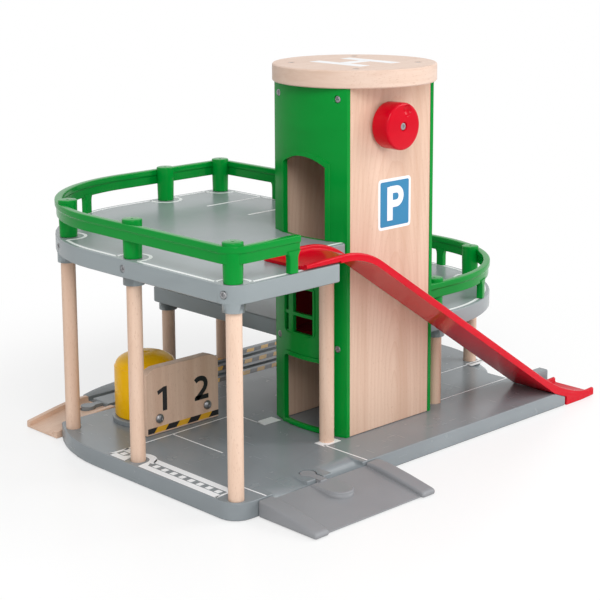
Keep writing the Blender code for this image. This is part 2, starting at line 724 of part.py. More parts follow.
def make_posts():
    """Beech dowels, seated in blind sockets."""
    runs = [
        *((post, place, BASE_TOP, UPPER_BOTTOM - POST_BOSS_HEIGHT) for post, place in POSTS_UPPER.items()),
        *((post, place, BASE_TOP, MID_BOTTOM - POST_BOSS_HEIGHT) for post, place in POSTS_MID.items()),
        *((post, place, MID_TOP, UPPER_BOTTOM - POST_BOSS_HEIGHT) for post, place in POSTS_TOP.items()),
    ]
    for post, (x, y), low, high in runs:
        start = low - POST_SOCKET + GAP
        length = high + POST_SOCKET - GAP - start
        made = rod(post, (x, y, start), "Z", POST_RADIUS, length, BEECH, sides=POST_SIDES)
        smooth(made)


def band(name, outer, inner, low, high, look=None):
    """A strip between an outer and an inner line, made solid between two levels."""
    return extruded(name, [*outer, *reversed(inner)], low, high, look)


def rail_lines(path, thick, inset):
    """The outer and inner lines of a railing whose path is a function of the inset."""
    return path(inset), path(inset + thick)


def upper_path(inset):
    """The upper railing's line: front edge, left edge, wide arc, back edge, then to the tower."""
    return [
        (UPPER_RAIL_END, EDGE_FRONT + inset),
        *reversed(corner(EDGE_LEFT + inset, EDGE_FRONT + inset, CORNER_RADIUS - inset, 180)),
        *left_arc(inset),
        *reversed(corner(UPPER_RIGHT - inset, EDGE_BACK - inset, CORNER_RADIUS - inset, 0)),
        (UPPER_RIGHT - inset, TOWER_BACK + 3 * MM),
    ]


def mid_path(inset):
    """The middle railing's line: from the tower along the front, round the wide arc, to the back."""
    return [
        (TOWER_X + PANEL_WIDTH / 2 + SHELL_BULGE, MID_FRONT + inset),
        *right_arc(inset),
        *corner(EDGE_RIGHT - inset, EDGE_BACK - inset, CORNER_RADIUS - inset, 0),
        (MID_RAIL_END, EDGE_BACK - inset),
    ]


def make_railing(name, path, deck_top, stiles, slats):
    """One moulded railing: a band with a lip, wide round stiles over the posts, and thin slats."""
    low, high = deck_top + RAIL_LOW, deck_top + RAIL_HIGH
    rail = band(name, *rail_lines(path, RAIL_THICK, RAIL_INSET), low, high, GREEN)
    lip_lines = rail_lines(path, RAIL_THICK + 2 * RAIL_LIP, RAIL_INSET - RAIL_LIP)
    lip = band(f"join_{name}_lip", *lip_lines, high - RAIL_LIP_HEIGHT, high + 0.6 * MM)
    foot = deck_top + GAP
    tools = [lip]
    for k, (x, y) in enumerate(stiles):
        stile = rod(
            f"join_{name}_stile_{k}",
            (x, y, foot),
            "Z",
            STILE_RADIUS_LOW,
            STILE_HEIGHT,
            sides=20,
            radius_end=STILE_RADIUS_TOP,
        )
        tools.append(stile)
    for k, (x, y, along_x) in enumerate(slats):
        wide, deep = (SLAT_WIDTH, SLAT_DEPTH) if along_x else (SLAT_DEPTH, SLAT_WIDTH)
        slat = box(
            f"join_{name}_slat_{k}",
            (x - wide / 2, y - deep / 2, foot),
            (x + wide / 2, y + deep / 2, low + 4 * MM),
        )
        tools.append(slat)
    join(rail, *tools)
    return smooth(rail)


def make_railings():
    """The two railings."""
    middle = RAIL_INSET + RAIL_THICK / 2
    line_left, line_back = EDGE_LEFT + STILE_INSET, EDGE_BACK - STILE_INSET
    stiles = [
        (line_left, EDGE_FRONT + STILE_INSET),
        (line_left, POSTS_UPPER["post_middle_left"][1]),
        on_left_arc(POST_LEFT_ARC_ANGLE, STILE_INSET),
        (POSTS_TOP["post_top_left"][0], line_back),
        (UPPER_RIGHT - STILE_INSET, line_back),
    ]
    slats = [
        (UPPER_RAIL_END - SLAT_WIDTH / 2 - 2 * MM, EDGE_FRONT + middle, True),
        (*on_left_arc(UPPER_SLAT_ANGLE, middle), True),
        (UPPER_RIGHT - middle, EDGE_BACK - UPPER_SLAT_FAR, False),
        (UPPER_RIGHT - middle, TOWER_BACK + UPPER_SLAT_NEAR, False),
    ]
    make_railing("upper_railing", upper_path, UPPER_TOP, stiles, slats)
    stiles = [
        (RIGHT_ARC_X + MID_STILE_REACH, MID_FRONT + STILE_INSET),
        on_right_arc(POST_RIGHT_ARC_ANGLE, STILE_INSET),
        (EDGE_RIGHT - STILE_INSET - 1 * MM, line_back - 1 * MM),
        (MID_RAIL_END + STILE_RADIUS_LOW, line_back),
    ]
    slats = [
        (*on_right_arc(MID_SLAT_ANGLE, middle), True),
        (*on_right_arc(0.0, middle), False),
        (EDGE_RIGHT - middle, EDGE_BACK - MID_SLAT_RIGHT, False),
        (MID_RAIL_END + MID_SLAT_BACK, EDGE_BACK - middle, True),
    ]
    make_railing("middle_railing", mid_path, MID_TOP, stiles, slats)


def make_panels():
    """The wooden front and back of the tower."""
    left = TOWER_X - PANEL_WIDTH / 2 + GAP
    right = TOWER_X + PANEL_WIDTH / 2 - GAP
    for name, front in (("tower_front_panel", TOWER_FRONT), ("tower_back_panel", TOWER_BACK - PANEL_THICK)):
        panel = box(
            name, (left, front, BASE_TOP + GAP), (right, front + PANEL_THICK, SHELL_TOP), BEECH
        )
        bevel(panel, 0.5 * MM)
        bore = rod(
            f"cut_{name}_bore",
            (CRANK_X, front - 1 * MM, CRANK_Z),
            "Y",
            BUSH_RADIUS + GAP,
            PANEL_THICK + 2 * MM,
            sides=20,
        )
        cut(panel, bore)


def door_outline(floor, height, arched, grow=0.0):
    """The (y, z) outline of a door in the tower's side."""
    half = DOOR_WIDTH / 2 + grow
    low = floor + GAP if grow else floor
    if not arched:
        top = floor + height + grow
        return [
            (TOWER_Y - half, low),
            (TOWER_Y + half, low),
            *corner(TOWER_Y + half, top, DOOR_CORNER + grow, 0, 4),
            *corner(TOWER_Y - half, top, DOOR_CORNER + grow, 90, 4),
        ]
    rise = DOOR_ARCH_RISE
    radius = (half**2 + rise**2) / (2 * rise)
    spread = math.degrees(math.asin(half / radius))
    centre = floor + height + grow + rise - radius
    crown = arc(TOWER_Y, centre, radius, 90.0 - spread, 90.0 + spread, 12)
    return [(TOWER_Y - half, low), (TOWER_Y + half, low), *crown]


def make_shell(name, side, doors, windows):
    """One bulged green side of the tower, with raised rims round its doors."""
    low, high = TOWER_FRONT, TOWER_BACK
    outer = shell_line(side, low, high)
    inner = shell_line(side, low, high, SHELL_THICK)
    shell = band(name, outer, inner, BASE_TOP + GAP, SHELL_TOP, GREEN)
    reach = sorted((TOWER_X + side * 30 * MM, TOWER_X + side * 70 * MM))
    skin = band(
        f"cut_{name}_rim_limit",
        shell_line(side, low, high, -DOOR_RIM_PROUD),
        shell_line(side, low, high, SHELL_THICK / 2),
        BASE_TOP + GAP,
        SHELL_TOP,
    )
    rims, holes = [], []
    for k, (floor, height, arched) in enumerate(doors):
        rim = extruded(
            f"join_{name}_rim_{k}", door_outline(floor, height, arched, DOOR_RIM), *reach, plane="YZ"
        )
        trim = rim.modifiers.new("limit", "BOOLEAN")
        trim.operation = "INTERSECT"
        trim.object = skin
        rims.append(rim)
        holes.append(
            extruded(f"cut_{name}_door_{k}", door_outline(floor, height, arched), *reach, plane="YZ")
        )
    for k, (y_low, y_high, z_low, z_high) in enumerate(windows):
        holes.append(
            box(f"cut_{name}_window_{k}", (reach[0], y_low, z_low), (reach[1], y_high, z_high))
        )
    screws = []
    for k, (y, z) in enumerate(shell_screw_places(side)):
        x = TOWER_X + side * shell_x(y)
        start = x - SCREW_HEAD_DEPTH if side > 0 else x - 3 * MM
        length = SCREW_HEAD_DEPTH + 3 * MM
        screws.append(
            rod(f"cut_{name}_screw_{k}", (start, y, z), "X", SCREW_RADIUS + GAP, length, sides=SCREW_SIDES)
        )
    join(shell, *rims)
    cut(shell, *holes, *screws)
    return smooth(shell)


def shell_screw_places(side):
    """(y, z) of the screws that hold the shell of a side, -1 left or 1 right, to the panels."""
    ys = (TOWER_FRONT + SHELL_SCREW_INSET, TOWER_BACK - SHELL_SCREW_INSET)
    return [(y, z) for z in SHELL_SCREW_HEIGHTS[side] for y in ys]


def make_shells():
    """Both sides of the tower and their screws."""
    ground = BASE_TOP - 1 * MM
    window_low = TOWER_Y + WINDOW_OFFSET - WINDOW_WIDTH
    slit_low = TOWER_Y + WINDOW_OFFSET + WINDOW_POST
    low_z = MID_TOP
    middle_z = low_z + WINDOW_LOW_HEIGHT + WINDOW_BAR
    top_z = middle_z + WINDOW_HIGH_HEIGHT
    windows = [
        (window_low, window_low + WINDOW_WIDTH, low_z, low_z + WINDOW_LOW_HEIGHT),
        (window_low, window_low + WINDOW_WIDTH, middle_z, top_z),
        (slit_low, slit_low + WINDOW_SLIT, low_z, low_z + WINDOW_LOW_HEIGHT),
        (slit_low, slit_low + WINDOW_SLIT, middle_z, top_z),
    ]
    left_doors = [(ground, DOOR_GROUND_HEIGHT, False), (UPPER_TOP, DOOR_SIDE_HEIGHT, True)]
    right_doors = [(MID_TOP, DOOR_SIDE_HEIGHT, True)]
    make_shell("tower_left_shell", -1, left_doors, windows)
    make_shell("tower_right_shell", 1, right_doors, [])
    for side, word in ((-1, "left"), (1, "right")):
        for k, (y, z) in enumerate(shell_screw_places(side), 1):
            floor_x = TOWER_X + side * (shell_x(y) - SCREW_HEAD_DEPTH + GAP)
            start = floor_x if side > 0 else floor_x - SCREW_HEAD_THICK
            head = rod(
                f"shell_screw_{word}_{k}", (start, y, z), "X", SCREW_RADIUS, SCREW_HEAD_THICK, STEEL, sides=SCREW_SIDES
            )
            smooth(head)


def make_lid():
    """The round wooden lid and its four screws."""
    profile = [
        (0.0, LID_THICK),
        (LID_RADIUS - 0.8 * MM, LID_THICK),
        (LID_RADIUS, LID_THICK - 0.8 * MM),
        (LID_RADIUS, 0.8 * MM),
        (LID_RADIUS - 0.8 * MM, 0.0),
        (0.0, 0.0),
    ]
    lid = turned("tower_lid", (TOWER_X, TOWER_Y, LID_BOTTOM), profile, BEECH, steps=64)
    reach_x, reach_y = PANEL_WIDTH / 2 - 10 * MM, TOWER_DEPTH / 2 - PANEL_THICK / 2
    for k, (side_x, side_y) in enumerate(((-1, -1), (1, -1), (1, 1), (-1, 1)), 1):
        x, y = TOWER_X + side_x * reach_x, TOWER_Y + side_y * reach_y
        hole = rod(
            f"cut_lid_screw_{k}", (x, y, LID_TOP - 1.8 * MM), "Z", SCREW_RADIUS + GAP, 3 * MM, sides=SCREW_SIDES
        )
        cut(lid, hole)
        head = rod(
            f"lid_screw_{k}",
            (x, y, LID_TOP - 1.8 * MM + GAP),
            "Z",
            SCREW_RADIUS,
            SCREW_HEAD_THICK,
            STEEL,
            sides=SCREW_SIDES,
        )
        smooth(head)


def make_crank():
    """The knob, its shaft and bushes, and the drum that winds the cord."""
    knob_back = TOWER_FRONT - BUSH_FLANGE_THICK - GAP
    knob_front = knob_back - KNOB_THICK
    axis = (CRANK_X, 0.0, CRANK_Z)
    knob = rod(
        "crank_knob", (CRANK_X, knob_front, CRANK_Z), "Y", KNOB_RADIUS, KNOB_THICK, RED, sides=48
    )
    bevel(knob, KNOB_ROUND, 2)
    screw_hole = rod(
        "cut_knob_screw",
        (CRANK_X, knob_front - 1 * MM, CRANK_Z),
        "Y",
        KNOB_SCREW_RADIUS + GAP,
        1 * MM + KNOB_SCREW_SUNK + KNOB_SCREW_THICK + GAP,
        sides=20,
    )
    shaft_hole = rod(
        "cut_knob_shaft",
        (CRANK_X, knob_back - KNOB_SOCKET, CRANK_Z),
        "Y",
        SHAFT_RADIUS + GAP,
        KNOB_THICK,
        sides=20,
    )
    dimple = turned(
        "cut_knob_dimple",
        (CRANK_X + DIMPLE_RIGHT, knob_front - 1 * MM, CRANK_Z + DIMPLE_UP),
        [
            (0.0, 1.0 * MM),
            (DIMPLE_RADIUS, 1.0 * MM),
            (0.87 * DIMPLE_RADIUS, -1 * MM - 0.3 * DIMPLE_DEPTH),
            (0.5 * DIMPLE_RADIUS, -1 * MM - 0.84 * DIMPLE_DEPTH),
            (0.0, -1 * MM - DIMPLE_DEPTH),
        ],
        steps=20,
    )
    dimple.rotation_euler = (math.pi / 2, 0.0, 0.0)
    cut(knob, screw_hole, shaft_hole, dimple)
    smooth(knob)
    move_origin(knob, axis)
    screw = rod(
        "knob_screw",
        (CRANK_X, knob_front + KNOB_SCREW_SUNK, CRANK_Z),
        "Y",
        KNOB_SCREW_RADIUS,
        KNOB_SCREW_THICK,
        STEEL,
        sides=20,
    )
    smooth(screw)
    move_origin(screw, axis)
    shaft_start = knob_back - KNOB_SOCKET + GAP
    shaft_end = TOWER_BACK - 1.5 * MM
    shaft = rod(
        "crank_shaft",
        (CRANK_X, shaft_start, CRANK_Z),
        "Y",
        SHAFT_RADIUS,
        shaft_end - shaft_start,
        STEEL,
        sides=20,
    )
    smooth(shaft)
    move_origin(shaft, axis)
    for name, face, flange_start in (
        ("front_bush", TOWER_FRONT, TOWER_FRONT - BUSH_FLANGE_THICK),
        ("back_bush", TOWER_BACK - PANEL_THICK, TOWER_BACK - PANEL_THICK - BUSH_FLANGE_THICK),
    ):
        body = rod(name, (CRANK_X, face - 0.5 * MM, CRANK_Z), "Y", BUSH_RADIUS, PANEL_THICK, GREEN, sides=20)
        flange = rod(
            f"join_{name}_flange",
            (CRANK_X, flange_start, CRANK_Z),
            "Y",
            BUSH_FLANGE,
            BUSH_FLANGE_THICK - GAP,
            sides=20,
        )
        bore = rod(
            f"cut_{name}",
            (CRANK_X, flange_start - 1 * MM, CRANK_Z),
            "Y",
            SHAFT_RADIUS + GAP,
            PANEL_THICK + 5 * MM,
            sides=20,
        )
        join(body, flange)
        cut(body, bore)
        smooth(body)
    drum_start = TOWER_Y - DRUM_LENGTH / 2
    drum = rod(
        "cord_drum", (CRANK_X, drum_start, CRANK_Z), "Y", DRUM_RADIUS, DRUM_LENGTH, GREEN, sides=24
    )
    flanges = [
        rod(
            f"join_drum_flange_{k}",
            (CRANK_X, start, CRANK_Z),
            "Y",
            DRUM_FLANGE,
            1.8 * MM,
            sides=24,
        )
        for k, start in enumerate((drum_start - 1 * MM, drum_start + DRUM_LENGTH - 0.8 * MM))
    ]
    bore = rod(
        "cut_drum_bore",
        (CRANK_X, drum_start - 3 * MM, CRANK_Z),
        "Y",
        SHAFT_RADIUS + GAP,
        DRUM_LENGTH + 6 * MM,
        sides=20,
    )
    join(drum, *flanges)
    cut(drum, bore)
    smooth(drum)
    move_origin(drum, axis)


def make_lift():
    """The cabin, open towards the doors, its two guides and its cord."""
    inner_front = TOWER_FRONT + PANEL_THICK
    inner_back = TOWER_BACK - PANEL_THICK
    floor_top = MID_TOP - CABIN_FLOOR_DROP
    low = floor_top - CABIN_FLOOR
    high = low + CABIN_HEIGHT
    left, right = TOWER_X - CABIN_WIDTH / 2, TOWER_X + CABIN_WIDTH / 2
    front, back = inner_front + RUN_GAP + GUIDE_DEPTH * 0.5, inner_back - RUN_GAP - GUIDE_DEPTH * 0.5
    cabin = box("lift_cabin", (left, front, low), (right, back, high), DARK_RED)
    inside = box(
        "cut_cabin_inside",
        (left - 1 * MM, front + 2 * CABIN_WALL, floor_top),
        (right + 1 * MM, back - 2 * CABIN_WALL, high - CABIN_WALL),
    )
    half = GUIDE_WIDTH / 2 + RUN_GAP
    slots = [
        box(
            f"cut_cabin_slot_{k}",
            (TOWER_X - half, min(y, y + way * (GUIDE_DEPTH + 5 * MM)), low - 1 * MM),
            (TOWER_X + half, max(y, y + way * (GUIDE_DEPTH + 5 * MM)), high + 1 * MM),
        )
        for k, (y, way) in enumerate(
            (
                (inner_front + GUIDE_DEPTH + RUN_GAP, -1),
                (inner_back - GUIDE_DEPTH - RUN_GAP, 1),
            )
        )
    ]
    cut(cabin, inside, *slots)
    move_origin(cabin, (TOWER_X, TOWER_Y, low))
    guide_low, guide_high = BASE_TOP + GAP, CRANK_Z - BUSH_FLANGE - 3 * MM
    for name, start in (
        ("lift_guide_front", inner_front + GAP),
        ("lift_guide_back", inner_back - GUIDE_DEPTH - GAP),
    ):
        box(
            name,
            (TOWER_X - GUIDE_WIDTH / 2, start, guide_low),
            (TOWER_X + GUIDE_WIDTH / 2, start + GUIDE_DEPTH, guide_high),
            BEECH,
        )
    cord_low = high + GAP
    cord_x = CRANK_X + DRUM_RADIUS + GAP + CORD_RADIUS
    cord = rod(
        "lift_cord", (cord_x, TOWER_Y, cord_low), "Z", CORD_RADIUS, CRANK_Z - cord_low, CORD, sides=10
    )
    smooth(cord)


def make_slide():
    """The red slide: a channel from the upper deck down to the floor past the base's right end."""
    top = UPPER_TOP + GAP
    foot_z = BASE_TOP + GAP
    slope = (top - foot_z) / (SLIDE_FOOT - SLIDE_CREST)
    angle = math.atan(slope)
    centre_x = SLIDE_CREST - SLIDE_BEND * math.tan(angle / 2)
    centre_z = top - SLIDE_BEND
    end = 90.0 - math.degrees(angle)
    rise = SLIDE_WALL_HEIGHT / math.cos(angle)
    step_x = FRONT_WING_RIGHT + GAP
    step_z = foot_z - FOOT_SEAT_DROP

    def bend(offset, steps=9):
        return arc(centre_x, centre_z, SLIDE_BEND + offset, 90.0, end, steps)

    def foot(x, height):
        return (SLIDE_FOOT + x, height)

    outline = [
        (SLIDE_START, top + SLIDE_WALL_HEIGHT - 1.8 * MM),
        (SLIDE_START + 18 * MM, top + SLIDE_WALL_HEIGHT - 0.5 * MM),
        *bend(SLIDE_WALL_HEIGHT),
        foot(-12 * MM, foot_z + slope * 12 * MM + rise),
        foot(6.5 * MM, 17.4 * MM),
        foot(17 * MM, 13.0 * MM),
        foot(27 * MM, 9.7 * MM),
        foot(37 * MM, 7.9 * MM),
        foot(45 * MM, 7.3 * MM),
        (SLIDE_TIP - 1.5 * MM, 6.9 * MM),
        (SLIDE_TIP, 5.2 * MM),
        (SLIDE_TIP, 0.0),
        (step_x, 0.0),
        (step_x, step_z),
        (SLIDE_FOOT, foot_z),
        *reversed(bend(0.0)),
        (SLIDE_START, top),
    ]
    low_y = EDGE_FRONT - 0.3 * MM
    high_y = low_y + SLIDE_WIDTH
    body = extruded("slide_ramp", outline, low_y, high_y, RED, plane="XZ")
    over = top + 40 * MM
    channel = [
        (SLIDE_START - 2 * MM, top + SLIDE_FLOOR),
        *bend(SLIDE_FLOOR),
        foot(-2 * MM, foot_z + slope * 2 * MM + SLIDE_FLOOR / math.cos(angle)),
        foot(step_x - SLIDE_FOOT, step_z + SLIDE_FLOOR + 0.5 * MM),
        foot(26 * MM, 5.2 * MM),
        foot(36 * MM, 3.0 * MM),
        foot(45 * MM, 2.0 * MM),
        (SLIDE_TIP + 2 * MM, 1.5 * MM),
        (SLIDE_TIP + 2 * MM, over),
        (SLIDE_START - 2 * MM, over),
    ]
    trough = extruded(
        "cut_slide_trough", channel, low_y + SLIDE_WALL_THICK, high_y - SLIDE_WALL_THICK, plane="XZ"
    )
    lip = box(
        "cut_slide_lip",
        (SLIDE_START - 1 * MM, low_y - 1 * MM, top - 1 * MM),
        (UPPER_NOSE_RIGHT, low_y + SLIDE_LIP_DEPTH, top + SLIDE_LIP_RISE),
    )
    hook_x = UPPER_NOSE_RIGHT + GAP
    hook = box(
        "join_slide_hook",
        (hook_x, low_y + 8 * MM, top - SLIDE_HOOK),
        (hook_x + 3 * MM, high_y - 16 * MM, top + 1 * MM),
    )
    join(body, hook)
    cut(body, trough, lip)
    return smooth(body, 30.0)


def make_entry_ramp():
    """The front ramp: two lanes between kerbs, with a raised tongue and a peg for the base."""
    seam = EDGE_FRONT - GAP
    end = seam - RAMP_LENGTH
    seam_top = BASE_TOP - LANE_DROP - 0.3 * MM
    right = RAMP_LEFT + RAMP_WIDTH
    tip = end + RAMP_TIP_INSET
    wedge = [
        (seam - GAP, RAMP_FLOOR_LOW),
        (seam - GAP, seam_top),
        (seam - RAMP_LENGTH / 2, seam_top * 0.60),
        (tip, RAMP_TIP_THICK),
        (tip, RAMP_FLOOR_LOW),
    ]
    inner = KERB_WIDTH / 2
    ramp = extruded("entry_ramp", wedge, RAMP_LEFT + inner, right - inner, GREY, plane="YZ")
    kerb = [
        (seam, 0.0),
        (seam, KERB_TOP),
        (seam - 14 * MM, KERB_TOP - 0.7 * MM),
        (seam - 32 * MM, KERB_TOP - 3.6 * MM),
        (end + 3 * MM, KERB_TIP),
        (end, KERB_TIP - 0.9 * MM),
        (end, 0.0),
    ]
    kerbs = [
        extruded("join_kerb_left", kerb, RAMP_LEFT, RAMP_LEFT + KERB_WIDTH, plane="YZ"),
        extruded("join_kerb_right", kerb, right - KERB_WIDTH, right, plane="YZ"),
    ]
    for piece in kerbs:
        bevel(piece, 1.6 * MM, 2)
    half = 10.5 * MM
    tongue_end = seam - TONGUE_LENGTH + half
    tongue = extruded(
        "join_tongue",
        [
            (RAMP_MIDDLE + half, seam - 2 * GAP),
            (RAMP_MIDDLE - half, seam - 2 * GAP),
            *arc(RAMP_MIDDLE, tongue_end, half, 180.0, 360.0, 12),
        ],
        1.0 * MM,
        TONGUE_TOP,
    )
    bevel(tongue, 1.2 * MM)
    peg = joint_slot(
        "join_ramp_peg", RAMP_MIDDLE, EDGE_FRONT + PEG_REACH, "-Y", 0.0, 2 * MM, BASE_TOP - 0.4 * MM, 16 * MM
    )
    join(ramp, *kerbs, tongue, *peg)
    return smooth(ramp, 30.0)


def make_ramp_track():
    """The wooden ramp track at the back left, a channel that climbs to the railway strip."""
    low_y, high_y = TRACK_Y - TRACK_WIDTH / 2, TRACK_Y + TRACK_WIDTH / 2
    end = TRACK_LEFT - GAP
    side = [
        (TRACK_TIP, 0.0),
        (TRACK_TIP, TRACK_KERB_TIP),
        (TRACK_TIP + 28 * MM, TRACK_KERB_TOP - 2.6 * MM),
        (TRACK_TIP + 40 * MM, TRACK_KERB_TOP - 0.7 * MM),
        (end, TRACK_KERB_TOP),
        (end, 0.0),
    ]
    track = extruded("ramp_track", side, low_y, high_y, BEECH, plane="XZ")
    bevel(track, 0.5 * MM)
    over = TRACK_KERB_TOP + 3 * MM
    bed = [
        (TRACK_TIP - 2 * MM, TRACK_TIP_THICK),
        (TRACK_TIP + 30 * MM, BASE_TOP - GROOVE_DEPTH - 2.2 * MM),
        (TRACK_TIP + 44 * MM, BASE_TOP - GROOVE_DEPTH),
        (end + 2 * MM, BASE_TOP - GROOVE_DEPTH),
        (end + 2 * MM, over),
        (TRACK_TIP - 2 * MM, over),
    ]
    channel = extruded(
        "cut_track_channel", bed, low_y + TRACK_KERB, high_y - TRACK_KERB, plane="XZ"
    )
    socket = joint_slot(
        "cut_track_socket", TRACK_LEFT - PEG_REACH, TRACK_Y, "+X", GAP + 0.4 * MM, -1 * MM, over, 20 * MM
    )
    cut(track, channel, *socket)
    return smooth(track, 20.0)


def make_bay_wall():
    """The board of the two parking bays and its bolts."""
    foot = BASE_TOP + GAP
    left, right = WALL_LEFT, WALL_RIGHT
    outline = [
        (left, foot),
        (right, foot),
        (right, WALL_TOP - WALL_CORNER * 0.5),
        (right - 2.5 * MM, WALL_TOP - WALL_CORNER * 0.25),
        (right - WALL_CORNER, WALL_TOP),
        (left + WALL_CORNER, WALL_TOP),
        (left + 2.5 * MM, WALL_TOP - WALL_CORNER * 0.25),
        (left, WALL_TOP - WALL_CORNER * 0.5),
    ]
    wall = extruded("bay_wall", outline, WALL_FRONT, WALL_FRONT + WALL_THICK, BEECH, plane="XZ")
    bevel(wall, 0.5 * MM)
    middle = (left + right) / 2
    for k, side in enumerate((-1, 1), 1):
        x = middle + side * BOLT_SPACING / 2
        turned_bolt(f"bay_bolt_{k}", (x, WALL_FRONT - GAP, foot + BOLT_HEIGHT))


def turned_bolt(name, place):
    """A domed bolt head that faces the front."""
    profile = [(0.0, BOLT_RISE)]
    profile += [
        (BOLT_RADIUS * math.sin(math.radians(a)), 0.5 * MM + (BOLT_RISE - 0.5 * MM) * math.cos(math.radians(a)))
        for a in (30, 60, 90)
    ]
    profile += [(BOLT_RADIUS, 0.0), (0.0, 0.0)]
    bolt = turned(name, place, profile, STEEL, steps=16)
    bolt.rotation_euler = (math.pi / 2, 0.0, 0.0)
    return bolt


def make_tank():
    """The yellow tank on its grey ring."""
    ring_low = BASE_TOP + GAP
    ring = turned(
        "tank_ring",
        (TANK_X, TANK_Y, ring_low),
        [
            (0.0, TANK_RING_HEIGHT),
            (TANK_RING_RADIUS - 1 * MM, TANK_RING_HEIGHT),
            (TANK_RING_RADIUS, TANK_RING_HEIGHT - 1 * MM),
            (TANK_RING_RADIUS, 0.0),
            (0.0, 0.0),
        ],
        GREY,
        steps=40,
    )
    foot = ring_low + TANK_RING_HEIGHT + GAP
    dome = TANK_TOP - TANK_SHOULDER
    height = TANK_SHOULDER - foot
    profile = [(0.0, height + dome)]
    for a in range(15, 90, 15):
        turn = math.radians(a)
        profile.append(
            ((TANK_RADIUS - 0.8 * MM) * math.sin(turn), height + dome * math.cos(turn))
        )
    profile += [
        (TANK_RADIUS - 0.8 * MM, height + 0.4 * MM),
        (TANK_RADIUS, height - 0.6 * MM),
        (TANK_RADIUS, 0.0),
        (0.0, 0.0),
    ]
    tank = turned("tank_body", (TANK_X, TANK_Y, foot), profile, YELLOW, steps=40)
    return ring, tank


def deck_screw_places():
    """(name, y, z) of the screws in the upper deck's left edge, one by each left post."""
    z = UPPER_BOTTOM + DECK_THICK / 2
    posts = ("post_back_left", "post_middle_left", "post_front_left")
    return [(post.replace("post", "deck_screw"), POSTS_UPPER[post][1], z) for post in posts]


def make_deck_screws():
    """The screws that hold the left posts through the upper deck's edge."""
    for name, y, z in deck_screw_places():
        start = left_edge(y) + SCREW_HEAD_DEPTH - GAP - SCREW_HEAD_THICK
        head = rod(name, (start, y, z), "X", SCREW_RADIUS, SCREW_HEAD_THICK, STEEL, sides=SCREW_SIDES)
        smooth(head)


make_base()
make_upper_deck()
make_mid_deck()
make_posts()
make_railings()
make_panels()
make_shells()
make_lid()
make_crank()
make_lift()
make_slide()
make_entry_ramp()
make_ramp_track()
make_bay_wall()
make_tank()
make_deck_screws()
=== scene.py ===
"""Looks of a toy parking garage: moulded decks on beech posts, green railings, a tower with a lift,
a slide, ramps, painted lines and signs. Laid out as an add-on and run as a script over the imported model.

Sizes are millimetres of the drawing, whose zero is the axis of the front left post at table level:
x runs along the front edge to the right, y to the back and z up. placed() turns them into metres.
"""

import json
import math

import bmesh
import bpy
import numpy as np
from bpy.props import FloatProperty, FloatVectorProperty, PointerProperty
from mathutils import Matrix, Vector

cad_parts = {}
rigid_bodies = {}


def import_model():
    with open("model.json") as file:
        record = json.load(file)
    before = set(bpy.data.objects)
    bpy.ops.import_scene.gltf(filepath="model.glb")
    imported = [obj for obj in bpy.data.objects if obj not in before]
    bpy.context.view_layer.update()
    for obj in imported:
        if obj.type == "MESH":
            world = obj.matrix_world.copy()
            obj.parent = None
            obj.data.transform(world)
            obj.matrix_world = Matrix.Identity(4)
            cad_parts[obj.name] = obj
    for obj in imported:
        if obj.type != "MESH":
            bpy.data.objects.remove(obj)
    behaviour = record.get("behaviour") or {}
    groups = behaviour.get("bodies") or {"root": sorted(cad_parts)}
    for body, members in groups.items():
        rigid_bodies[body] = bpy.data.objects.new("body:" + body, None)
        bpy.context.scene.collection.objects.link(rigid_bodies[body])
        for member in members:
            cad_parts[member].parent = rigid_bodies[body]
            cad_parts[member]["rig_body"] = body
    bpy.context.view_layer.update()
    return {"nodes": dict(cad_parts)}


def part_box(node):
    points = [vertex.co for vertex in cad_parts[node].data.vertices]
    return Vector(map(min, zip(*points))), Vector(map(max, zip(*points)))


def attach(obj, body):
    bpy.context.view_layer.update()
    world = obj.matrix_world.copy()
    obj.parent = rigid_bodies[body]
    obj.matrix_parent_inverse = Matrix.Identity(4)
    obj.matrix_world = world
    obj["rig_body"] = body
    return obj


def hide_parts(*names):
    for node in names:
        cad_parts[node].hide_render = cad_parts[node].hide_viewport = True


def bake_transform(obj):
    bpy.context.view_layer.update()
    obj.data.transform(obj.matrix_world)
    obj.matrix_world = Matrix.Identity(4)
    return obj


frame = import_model()

bl_info = {
    "name": "Toy Parking Garage Looks",
    "version": (1, 0, 0),
    "blender": (4, 5, 0),
    "location": "View3D > Sidebar > Garage",
    "description": "Dresses the toy parking garage with finished pieces, materials, signs and light",
    "category": "Add Mesh",
}

PLAN_CENTRE = np.array((189.5, 102.25, 0.0))
BASE_TOP, MIDDLE_TOP, UPPER_TOP = 12.7, 87.0, 161.7
EDGE_LEFT, EDGE_FRONT, EDGE_BACK, EDGE_RIGHT = -10.0, -9.7, 270.0, 382.0
CORNER = 15.0
# the wide bends of the decks: centre x, centre y, radius
LEFT_BEND = (EDGE_LEFT + 123.0, EDGE_BACK - 123.0, 123.0)
RIGHT_BEND = (EDGE_RIGHT - 113.0, 38.0 + 113.0, 113.0)
UPPER_RIGHT = 224.0
TOWER = (186.2, 71.75)
TOWER_FRONT, TOWER_BACK = 33.5, 110.0
CRANK = (180.0, 245.0)
LID_TOP, BAY_WALL_FRONT = 287.7, 139.4
# how far a painted mark sinks into its surface, and how far a piece stands over what carries it
SUNK, STANDS = 0.05, 0.3


# Lines of the drawing


def placed(points):
    """Points of the drawing in millimetres as points of the frame in metres."""
    return (np.asarray(points, float) - PLAN_CENTRE) * 0.001


def arc(centre, radius, start, end, steps):
    """Points (cx + r cos a, cy + r sin a) for angles a from start to end, in degrees."""
    a = np.radians(np.linspace(start, end, steps + 1))
    return np.column_stack((centre[0] + radius * np.cos(a), centre[1] + radius * np.sin(a)))


